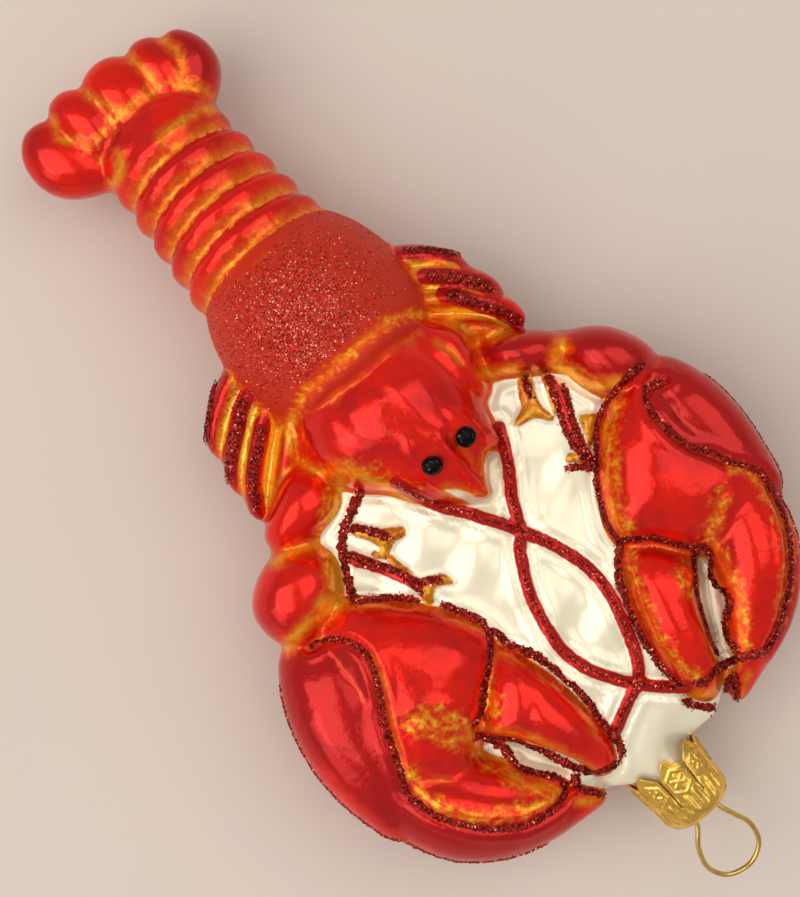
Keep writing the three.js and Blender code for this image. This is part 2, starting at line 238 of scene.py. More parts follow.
FULLNESS = 0.8  # below 1 a swollen form has squarer shoulders than an ellipse
ROUND_ENDS = 0.6  # below 1 a limb has blunter ends than an egg
FAN = [
    dict(crown=(-9.2, 70.6), top=6, outline=[
        (-15, 70), (-14.5, 75), (-11.7, 77.8), (-8, 77.4), (-5.4, 72), (-4, 67), (-6, 63.4),
        (-12.5, 66)]),
    dict(crown=(-3, 71.5), top=7, outline=[
        (-7.8, 75), (-6.4, 78.4), (-3, 78.9), (0, 76), (1, 71), (-1.5, 64), (-6.5, 66.5)]),
    dict(crown=(3.2, 71), top=7.8, outline=[
        (-1.6, 74), (-0.8, 77.4), (3, 78.8), (6.6, 77.5), (8.6, 73), (7.8, 65.5), (3, 63.5),
        (-1.4, 65.5)]),
    dict(crown=(9.8, 70.6), top=7, outline=[
        (6.9, 75.5), (9, 77.4), (12, 76.6), (14.2, 73), (12.6, 64.8), (7.4, 63.4), (6, 70)]),
    dict(crown=(13.4, 68.8), top=6, outline=[
        (11.8, 74.6), (15.3, 75.3), (17.8, 72), (18, 68), (16, 65), (11.5, 62.8), (9, 66),
        (10.6, 72)]),
    dict(crown=(2.8, 63.2), top=9.2, bottom=8.8, outline=[
        (-7.2, 62), (-6.2, 66), (-2, 68.9), (3, 69.4), (8, 68.6), (11.6, 66.2), (12.9, 62), (9, 58),
        (-3, 58)]),
]
TAIL = dict(middle=2.7, rings=5, rear=61.8, pitch=4.6, crease=0.03, rear_radius=8.9,
            front_radius=11.2, lip=1.3, arch=0.2, tucked_in=4)
BACK = [
    dict(spine=[(2.8, 44), (3.1, 34), (3.4, 26), (3.4, 19), (3.4, 11.6)],
         widths=[13.4, 15.1, 15.7, 15.4, 13.6], tops=[13.8, 17.6, 18.8, 18.6, 15.4],
         bottoms=[11, 13.2, BELLY, BELLY, 12], ends=0.45),
]
HEAD = [
    dict(spine=[(3, 44), (3.3, 29), (3.4, 12), (5, -4)], widths=[10, 13, 13.5, 11, 6],
         tops=[11, 16, 15.6, 14, 9], bottoms=[10, 12, 12, 11, 8]),
    dict(crown=(3.2, 9.5), top=17.4, bottom=11.5, outline=[
        (-11.7, 13.4), (-9.6, 18), (-3, 20.8), (5, 20.8), (11.6, 18.6), (15, 12.6), (14.6, 5),
        (13.4, 0), (12.4, -4), (10.8, -5), (8.8, -4.2), (7.4, -5.6), (5.5, -10), (2.6, -8),
        (-0.6, -5.4), (-3.6, -2.4), (-5.6, 1), (-9.6, 5.2), (-11.5, 9.4)]),
    dict(crown=(13.2, 11.4), top=13, bottom=10, outline=[
        (9.6, 18.6), (14.4, 18.4), (18.5, 13.4), (17.6, 7.2), (15.4, 2.6), (11.6, 2.6), (10, 10)]),
    dict(spine=[(10.4, 4.4), (9.4, 0.2), (6.9, -4.4), (5.6, -9)], widths=[2.4, 2.5, 1.5, 0.9],
         tops=[13.8, 13.8, 11.4, 7.8], bottoms=[4] * 4),
    dict(spine=[(0.2, 4.4), (1.4, 0), (3.4, -4.4), (5.4, -9)], widths=[2.4, 2.5, 1.7, 0.9],
         tops=[13.8, 13.8, 11.4, 7.8], bottoms=[4] * 4),
]
FOLDED_LEGS = [
    [(-8, 31), (-15, 28.2), (-19.8, 24.6), (-20.9, 21.6)],
    [(-8, 28), (-15.6, 24), (-21, 18.8), (-22.4, 15.8)],
    [(-8, 24.6), (-15.8, 19.6), (-21.6, 13.6), (-22.6, 11)],
    [(-8, 20.4), (-14, 15), (-18.6, 11.6), (-21.6, 9.4)],
    [(14, 30), (20.2, 25.6), (24.2, 21), (24.8, 18.4)],
    [(14, 26), (21.6, 20.6), (25.8, 15.4), (26.1, 12.4)],
    [(14, 21.6), (22, 15.8), (25.9, 10.4), (26.3, 7.4)],
    [(14, 17), (19, 12.6), (22.4, 9.4), (24, 7)],
]
LEGS = [
    dict(crown=(-12, 20), top=3.6, bottom=4.6, outline=[
        (-6, 32), (-13, 30.4), (-19.4, 24.6), (-21.4, 16), (-19, 8), (-6, 7)]),
    dict(crown=(18, 18), top=3.6, bottom=4.6, outline=[
        (12, 30), (18.6, 27.6), (24, 20), (25, 11), (23, 5), (12, 4)]),
] + [dict(spine=spine, widths=[2.4, 2.3, 2.2, 1.9], tops=[9, 6.6, 5.6, 4.6])
     for spine in FOLDED_LEGS]
ARMS = [
    dict(spine=[(-6, 8), (-16, 7), (-24, -0.6), (-26.4, -13)], widths=[3, 3, 5, 6],
         tops=[6.6, 6.8, 7.4, 8]),
    dict(crown=(-17, 8.4), top=10, bottom=8.5, outline=[
        (-14, 14), (-10.2, 11), (-11.2, 5.2), (-17, 3.8), (-23.8, 5.4), (-24.2, 8.6),
        (-19.4, 11.8)]),
    dict(crown=(-25.6, -0.6), top=11.6, bottom=9.5, outline=[
        (-24.4, 6), (-19.8, 4.6), (-17.2, 0.4), (-19.6, -4.6), (-25, -7.4), (-31, -7.2),
        (-33.2, -2.8), (-32.6, 1.6), (-29, 4.8)]),
    dict(spine=[(11, 6), (20, 4.4), (29, -1.6), (32, -14)], widths=[3, 3, 4.6, 5.4],
         tops=[6.6, 6.8, 7.4, 8]),
    dict(crown=(22.8, 4.4), top=10, bottom=8.5, outline=[
        (18, 9.2), (21.5, 8.9), (25.2, 7), (29.2, 2.8), (29, 0), (25, -0.6), (20.4, 1.6),
        (17, 5.6)]),
    dict(crown=(31.8, -4.4), top=11.6, bottom=9.5, outline=[
        (28.2, 2.8), (33.2, 1), (36.4, -2.6), (38, -8.8), (34, -12.4), (29, -10.4), (26.2, -5.4),
        (25.8, -0.6)]),
]
FLANK = dict(tops=[9.6, 10.6, 10.6, 10.4, 9.2], bottoms=[9.6, 9.6, 9.6, 9.6, 8.6])
FINGER = dict(tops=[12.6, 12.8, 12.2, 10.8, 9.2, 7.6], bottoms=[10, 10.6, 10, 9, 7.6, 6.4])
CLAWS = [
    dict(crown=(-20.5, -21.5), top=13.4, bottom=BELLY, outline=[
        (-21.5, -4.6), (-14.4, -10.8), (-9.4, -17.2), (-6.9, -24.2), (-10.4, -28.9), (-17.8, -34.4),
        (-25, -39), (-32, -38), (-33, -28), (-31, -20), (-30, -12), (-27, -6)]),
    dict(crown=(-32, -20.5), top=11.6, bottom=10.5, outline=[
        (-26, -5), (-33.6, -5.8), (-38.2, -11.6), (-40.8, -19), (-41.5, -26), (-40.6, -33),
        (-38.4, -39), (-33, -40), (-29, -32), (-25.6, -24), (-23, -15.5), (-23, -8.5)]),
    dict(spine=[(-25, -7), (-29, -19), (-29, -31), (-25, -42)], widths=[7, 10, 9.4, 6],
         tops=[10.4, 11.8, 11.8, 10.6]),
    dict(spine=[(-33, -18), (-33.3, -28.6), (-31.6, -35.2), (-28.4, -40.4), (-24, -44.5)],
         widths=[5, 7, 7.1, 7, 5], **FLANK),
    dict(spine=[(-31, -27), (-30.8, -35), (-26.8, -41.4), (-21.6, -46.3), (-16.9, -49.6),
                (-10.8, -54)],
         widths=[7.6, 9, 9.2, 8, 5.9, 2.2], **FINGER),
    dict(crown=(26.4, -22), top=13.4, bottom=BELLY, outline=[
        (32.6, -7.4), (28, -8.6), (22.2, -12), (16.4, -19), (13.8, -25.8), (18.4, -30.4),
        (23.8, -36.6), (30, -39), (37, -36), (37.5, -26), (36.6, -18), (36, -10)]),
    dict(crown=(36, -21), top=11.6, bottom=10.5, outline=[
        (34, -7.6), (38.8, -9.6), (41.5, -15.6), (42.2, -22), (41.4, -29.4), (39.4, -36),
        (35.6, -37), (32.8, -29), (30.4, -22.6), (29.4, -17), (30, -12), (32, -9.4)]),
    dict(spine=[(32, -10), (33, -20), (31.4, -31), (27, -42)], widths=[5, 7.6, 8.4, 6],
         tops=[10.4, 11.8, 11.8, 10.6]),
    dict(spine=[(34, -18), (34, -26.4), (32.1, -33.6), (29.1, -39.9), (25.4, -44.4)],
         widths=[5, 6.9, 6.9, 6.7, 5], **FLANK),
    dict(spine=[(31.6, -27), (31.2, -35.4), (27.6, -42.1), (23.1, -47.2), (18.4, -51.1),
                (13.4, -56.2)],
         widths=[7, 8.1, 8.2, 7.2, 5.4, 2.2], **FINGER),
]
THUMBS = [
    dict(crown=(-10.6, -36), top=11.6, bottom=9, outline=[
        (-8, -24.6), (-5.2, -31), (-4, -38), (-3.8, -45), (-5.4, -50.4), (-8, -51.6),
        (-11.2, -48.6), (-13.6, -43), (-16, -38), (-19.4, -33.6), (-16.4, -29.6), (-12, -26)]),
    dict(crown=(14.4, -37), top=11.6, bottom=9, outline=[
        (15.4, -26), (11, -31.8), (8.8, -38), (7.6, -45), (8, -51), (10.6, -53.4), (14, -51.4),
        (16.4, -46), (18.6, -40.4), (22.4, -35), (21, -31), (18.4, -27.4)]),
]
GROUND = [
    dict(crown=(2.6, -22), top=6.8, fullness=0.6, outline=[
        (-24, 4), (-12, 11), (2, 13), (18, 8), (30, -1), (28, -14), (21, -26), (19, -42),
        (15, -51.5), (10.4, -54.8), (3.6, -55.4), (AXIS_X, -56), (-6, -55.4), (-9.6, -53.4),
        (-11, -48.6), (-15, -40), (-12, -26), (-21, -10)]),
    dict(spine=[(2.4, -34), (1, -45), (-0.8, -52), (AXIS_X, -57.5)], widths=[8, 11, 8.4, 4.6],
         tops=[7, 7.2, 6.4, 4.6]),
    dict(spine=[(-21, -32), (-17.4, -40), (-12.4, -47), (-8.6, -52.6)], widths=[4, 5.6, 4, 2],
         tops=[5] * 4),
    dict(spine=[(25, -32), (21, -40), (17, -47), (13.4, -53.4)], widths=[4, 5.6, 4, 2],
         tops=[5] * 4),
]
NECK = dict(shoulder=-50, mouth=-64, radius=4.7)


def add_ball(segments, radius=1.0):
    """A new ball, and its vertices' places on a ball of radius 1."""
    bpy.ops.object.select_all(action="DESELECT")
    bpy.ops.mesh.primitive_uv_sphere_add(segments=segments, ring_count=segments // 2,
                                         radius=radius)
    return bpy.context.object, mesh_places(bpy.context.object) / radius


def swell(outline, crown, top, bottom=None, fullness=FULLNESS):
    """A ball whose girdle follows the outline at the seam, highest over the crown point."""
    ball, unit = add_ball(56)
    girdle = smooth_line(outline, closed=True)
    x, y = girdle.T
    area = np.sum(x * np.roll(y, -1) - np.roll(x, -1) * y)
    turn = (np.arctan2(unit[:, 1], unit[:, 0]) / (2 * math.pi)) % 1
    rim = at_share(girdle if area > 0 else girdle[::-1], turn)
    flat = np.hypot(unit[:, 0], unit[:, 1]) ** fullness
    rise = np.sign(unit[:, 2]) * np.abs(unit[:, 2]) ** fullness
    spot = np.array(crown) + (rim - np.array(crown)) * flat[:, None]
    height = np.where(rise > 0, top, top if bottom is None else bottom) * rise
    move_mesh(ball, (np.column_stack([spot, SEAM + height]) + TO_MIDDLE) * MM)
    return ball


def limb(spine, widths, tops, bottoms=None, ends=ROUND_ENDS):
    """A ball stretched along a curved spine, with half-widths and heights listed along it."""
    ball, unit = add_ball(40)
    line = smooth_line(spine)
    share = (1 - unit[:, 2]) / 2
    ring = np.hypot(unit[:, 0], unit[:, 1])
    round_end = ring ** ends
    across, up = (unit[:, :2] / np.maximum(ring, TINY)[:, None]).T
    middle = at_share(line, share)
    before, after = (at_share(line, np.clip(share + step, 0, 1)) for step in (-0.01, 0.01))
    ahead = to_length_one(after - before)
    aside = listed(widths, share) * round_end * across
    height = np.where(up > 0, listed(tops, share), listed(bottoms or tops, share)) * round_end * up
    spot = middle + np.column_stack([ahead[:, 1], -ahead[:, 0]]) * aside[:, None]
    move_mesh(ball, (np.column_stack([spot, SEAM + height]) + TO_MIDDLE) * MM)
    return ball


def form(shape):
    return limb(**shape) if "spine" in shape else swell(**shape)


def lathe(profile, middle_x, steps=72):
    """A turned solid from (radius, y) points, round an axis along Y at the seam's height."""
    turned = new_mesh("turned", [(middle_x + radius, y, SEAM) for radius, y in profile],
                      edges=[(i, i + 1) for i in range(len(profile) - 1)])
    select_only(turned)
    bpy.ops.object.mode_set(mode="EDIT")
    bpy.ops.mesh.select_all(action="SELECT")
    middle = (middle_x * MM, 0, SEAM * MM)
    bpy.ops.mesh.spin(steps=steps, angle=2 * math.pi, center=middle, axis=(0, 1, 0))
    bpy.ops.object.mode_set(mode="OBJECT")
    weld(turned, 0.001)
    move_mesh(turned, mesh_places(turned) + TO_MIDDLE * MM)
    return turned


def tail_rings():
    """Five rings, each swelling just behind its rear edge and tucking in towards the next one."""
    length = TAIL["rings"] * TAIL["pitch"]
    widening = TAIL["front_radius"] - TAIL["rear_radius"]
    profile = [(0, TAIL["rear"])]
    for ring in range(TAIL["rings"]):
        for share in np.linspace(0, 1, 12):
            back = (ring + TAIL["crease"] + (1 - 2 * TAIL["crease"]) * share) * TAIL["pitch"]
            swelling = TAIL["lip"] * math.sin(math.pi * share ** 0.6)
            radius = TAIL["rear_radius"] + widening * back / length
            profile.append((radius + swelling, TAIL["rear"] - back))
    front = TAIL["rear"] - length - TAIL["tucked_in"]
    rings = lathe(profile + [(TAIL["front_radius"], front), (0, front)], TAIL["middle"])
    places = mesh_places(rings)
    places[:, 1] += np.abs(places[:, 2] - SEAM * MM) * TAIL["arch"]
    move_mesh(rings, places)
    return rings


def neck_tube():
    rim = [(NECK["radius"], NECK["shoulder"]), (NECK["radius"], NECK["mouth"])]
    return lathe([(0, NECK["shoulder"]), *rim, (0, NECK["mouth"])], AXIS_X)


GROUPS = dict(tail=FAN, back=BACK, head=HEAD, legs=LEGS, arms=ARMS, claws=CLAWS, thumbs=THUMBS,
              ground=GROUND)
TURNED = dict(tail=tail_rings, ground=neck_tube)


def blown_forms():
    """All the moulded forms as balls and turned solids, and each group's surface."""
    pieces, trees = [], {}
    for name, shapes in GROUPS.items():
        forms = [form(shape) for shape in shapes]
        if name in TURNED:
            forms.append(TURNED[name]())
        group = join([add_object(name, piece.data.copy()) for piece in forms], name)
        trees[name] = tree_of(group)
        bpy.data.objects.remove(group)
        pieces += forms
    return pieces, trees


# --- What is drawn and painted on the glass ----------------------------------------------------

FEELER_HALF = 0.95  # half a feeler's width
BAR_HALF = 1.25  # half the width of the red stroke under the glitter on each walking leg
FOLD_Y = (38.8, 61.8)  # the tail rings, from the back's rear edge to the fan
RING_RED = 3.1  # how much of each ring's length is red, before the amber in its crease
FAR = 9.0  # stands in for any distance that is out of reach

# Lines drawn on the glass, each as (height at which it was measured, points)
GLITTER = dict(
    right_edge=(18, [
        (35.5, -8.4), (33.4, -8.5), (31, -8.7), (28.1, -9.2), (25.7, -10.1), (23.5, -11.7),
        (21.8, -13.7), (20.2, -15.6), (18.6, -17.4), (17.1, -20.1), (16, -22.2), (15.5, -24.5),
        (15.4, -26.1), (13.9, -27.8), (12.1, -29.7), (10.9, -32.1), (9.7, -35.1), (9, -38),
        (8.3, -41.9), (8, -45.1), (8.6, -48)]),
    right_joint=(18, [
        (15.6, -25.8), (17.2, -27.2), (19.1, -28.4), (20.5, -30.2), (21.8, -32.2), (23.4, -33.8),
        (24.6, -35.3)]),
    right_teeth=(18, [
        (24.6, -35.3), (24, -37.1), (22.6, -38.4), (22.1, -40.4), (22.4, -42.1), (21.8, -43.6),
        (20.1, -44.7), (18.8, -46), (18.1, -47.9), (18, -49.8)]),
    right_thumb_inside=(18, [
        (23, -34.2), (21, -36.5), (19.2, -38.9), (17.8, -41.7), (16.5, -44.5), (15.5, -47.2),
        (15.5, -48.4)]),
    right_tips=(18, [
        (9.8, -48.9), (11.3, -50), (13.6, -49.7), (15.7, -50.1), (17.8, -50.6), (19.7, -51.8),
        (22.2, -52.4)]),
    right_hook=(18, [
        (7, -49.7), (7.8, -51.2), (9, -52.7), (9.9, -54), (11.1, -54.3), (12.7, -53.2),
        (14.1, -52.2), (15.7, -52.3)]),
    right_point=(18, [(15.5, -52.6), (14.2, -53.5), (13.1, -55.3)]),
    left_arm=(18, [
        (-8.2, 4.7), (-10.3, 3.8), (-12.2, 2.8), (-14.2, 1.8), (-16.3, -0.1), (-17.5, -2.3),
        (-18.9, -4.8), (-20, -7.1)]),
    left_pane=(18, [(-20, -7.1), (-18.2, -8.4), (-15.8, -9.9), (-14, -11.6), (-12.7, -13.5)]),
    left_edge=(18, [
        (-10.5, -15.6), (-9.6, -17.7), (-8.6, -19.6), (-7.6, -21.5), (-7.9, -23.4), (-7, -24.5),
        (-7, -26.4), (-5.9, -28.7), (-4.6, -31.7), (-4.1, -35.4), (-3.6, -38.5), (-3.7, -41.6),
        (-4, -44.5), (-4, -47), (-4.3, -49.1), (-5.3, -50.4)]),
    left_joint=(18, [
        (-7.8, -23.6), (-9.3, -25.4), (-11.4, -27.4), (-13.7, -29.1), (-15.2, -30.5),
        (-16.8, -31.8), (-18.9, -32.4)]),
    left_thumb_inside=(18, [
        (-19.4, -33.8), (-17.6, -35.4), (-15.7, -37.6), (-14.1, -40.1), (-12.9, -43), (-12, -45.7),
        (-10.7, -47.9), (-9.7, -49.2), (-7.9, -50.3), (-5.5, -50.5)]),
    left_teeth=(18, [
        (-19, -34), (-18.1, -36), (-17.4, -37.7), (-17.7, -39.6), (-17.7, -41.2), (-16.8, -43.1),
        (-15.5, -44.8), (-14.4, -46.5), (-14.1, -48.4), (-12.9, -48.3), (-11.4, -48.1)]),
    left_tip=(18, [(-13.2, -48.3), (-12.7, -50.2), (-11.4, -51.8), (-10.5, -53.5)]),
)
FURROWS = dict(
    right_furrow=(18, [
        (36.2, -12.5), (34.7, -11.9), (33.4, -11.6), (32.2, -12.8), (31.4, -15.1), (31.5, -17.6),
        (31.8, -20.1), (32.8, -23), (34.3, -25.3), (35.2, -27.6), (36.8, -29.8), (37.8, -32.1),
        (37.3, -35.6), (36.3, -38.8), (34.8, -41.9), (32.5, -45), (29.8, -47.6), (27, -49.7),
        (24.3, -51.3), (21.7, -52.3)]),
    left_furrow=(18, [
        (-29.5, -7.9), (-27.8, -8.3), (-25.9, -9.2), (-24.3, -11.1), (-23.7, -13.5), (-24.1, -15.8),
        (-25.1, -18.2), (-26.5, -20.7), (-28, -23.1), (-29.3, -25.8), (-30.4, -28.6),
        (-31.4, -30.9), (-32.4, -33.3), (-32.2, -36.2), (-31.4, -39), (-29.7, -42), (-27.7, -44.6),
        (-25.3, -46.7), (-22.5, -48.6), (-19.5, -49.3), (-16.9, -49.4), (-14.1, -48.4)]),
)
FEELERS = dict(
    right_feeler=(18, [
        (13.1, -1.7), (11.4, -5.1), (9.8, -7.8), (7.6, -10.9), (6.6, -13), (5.4, -15.4),
        (3.6, -17.3), (2.4, -19.3), (0.9, -22), (-0.3, -25.4), (-1.1, -29.2), (-1.4, -33),
        (-0.6, -36.7), (0.8, -39.6), (2.3, -41.9), (3.7, -43.8), (5.5, -45.7), (7.4, -47.6),
        (9, -48.7)]),
    left_feeler=(18, [
        (-3.8, 2.1), (-2.5, -1.6), (-0.8, -5.3), (1.5, -8.5), (2.7, -10.6), (4.2, -12.9),
        (5.4, -15.4), (6.6, -17.5), (7.9, -20.6), (9, -24), (9.5, -27.4), (9.2, -31.2),
        (8.1, -35.3), (6.8, -39.1), (5.4, -41.9), (3.5, -43.7), (0.8, -44.8), (-1.7, -46),
        (-4.1, -47.1)]),
)
SHORT_LEGS = dict(
    right_foot=(18, [(20.9, 1.8), (20.2, 0.1), (19.4, -1.6)]),
    right_long=(18, [
        (23.9, 0.1), (22.9, -2.2), (21.8, -4.7), (20.7, -7.3), (19.8, -10.4), (19.4, -13.1),
        (19.3, -15.5)]),
    right_second=(18, [
        (24.3, -2.9), (23.5, -5.2), (22.2, -7.6), (21.3, -9.8), (20.4, -12), (20, -13.6)]),
    right_pincer=(18, [(16.3, -12.7), (17.3, -13.2), (18.5, -14.1), (19.3, -15.6)]),
    left_second=(18, [
        (-16.3, -0.9), (-15.2, -3.1), (-13.8, -5.2), (-12.5, -7.4), (-11.6, -9.5), (-11.5, -11.2),
        (-11.4, -12.9)]),
    left_first=(18, [(-13.9, 1.6), (-12.4, 0.8), (-11.2, -1), (-10.1, -2.8), (-10, -3.9)]),
    left_pincer=(18, [(-11.5, -11.2), (-9.5, -11.9), (-7.9, -13.2)]),
)
LEG_BARS = dict(
    right_first=(20, [(19.3, 27.1), (21.6, 25.4), (23.6, 23.3), (25.1, 21.3), (25.3, 19.4)]),
    right_second=(20, [(19.3, 22.2), (21.2, 20.6), (23.3, 18.1), (25, 15.8), (25.6, 13.7)]),
    right_third=(20, [(19.8, 18.4), (21.2, 16.3), (22.9, 13.4), (24.6, 10.5), (25.2, 7.9)]),
    left_first=(20, [(-12.9, 30.9), (-15, 29.9), (-17.2, 28.1), (-19.7, 26), (-21.4, 24.2)]),
    left_second=(20, [
        (-12.2, 26.1), (-14.5, 24.8), (-16.4, 23.2), (-18.5, 21.7), (-20.7, 19.9), (-22.4, 18)]),
    left_third=(20, [
        (-12.9, 21.5), (-15, 19.6), (-17, 18.1), (-19.2, 16.2), (-20.6, 14.2), (-21.9, 12.2)]),
)

# Thin lines of loose glitter along the mould's seam, outside each claw
SEAMS = dict(
    left_seam=(17, [
        (-36.4, -9.1), (-37.7, -12.4), (-38.3, -16.3), (-38.5, -21), (-38.5, -25.9), (-38.1, -30.6),
        (-36.9, -35.5), (-35.4, -40), (-33.9, -44.6), (-32, -47.4), (-28.9, -50.1), (-25.5, -52.5),
        (-22, -54.1)]),
    right_seam=(17, [
        (41.3, -15.5), (41.7, -19.8), (41.2, -25), (40.7, -29.6), (40.2, -34.3), (39.4, -37.6),
        (37.7, -41.3), (35.1, -45.1)]),
)

# The groove between back and head
GROOVE = [
    (-9.1, 18.7), (-6.6, 20.2), (-4.3, 20.7), (-0.6, 20.8), (3.7, 20.8), (8, 20.8), (11.7, 20.4),
    (14.4, 18.9), (16.1, 17.4)]

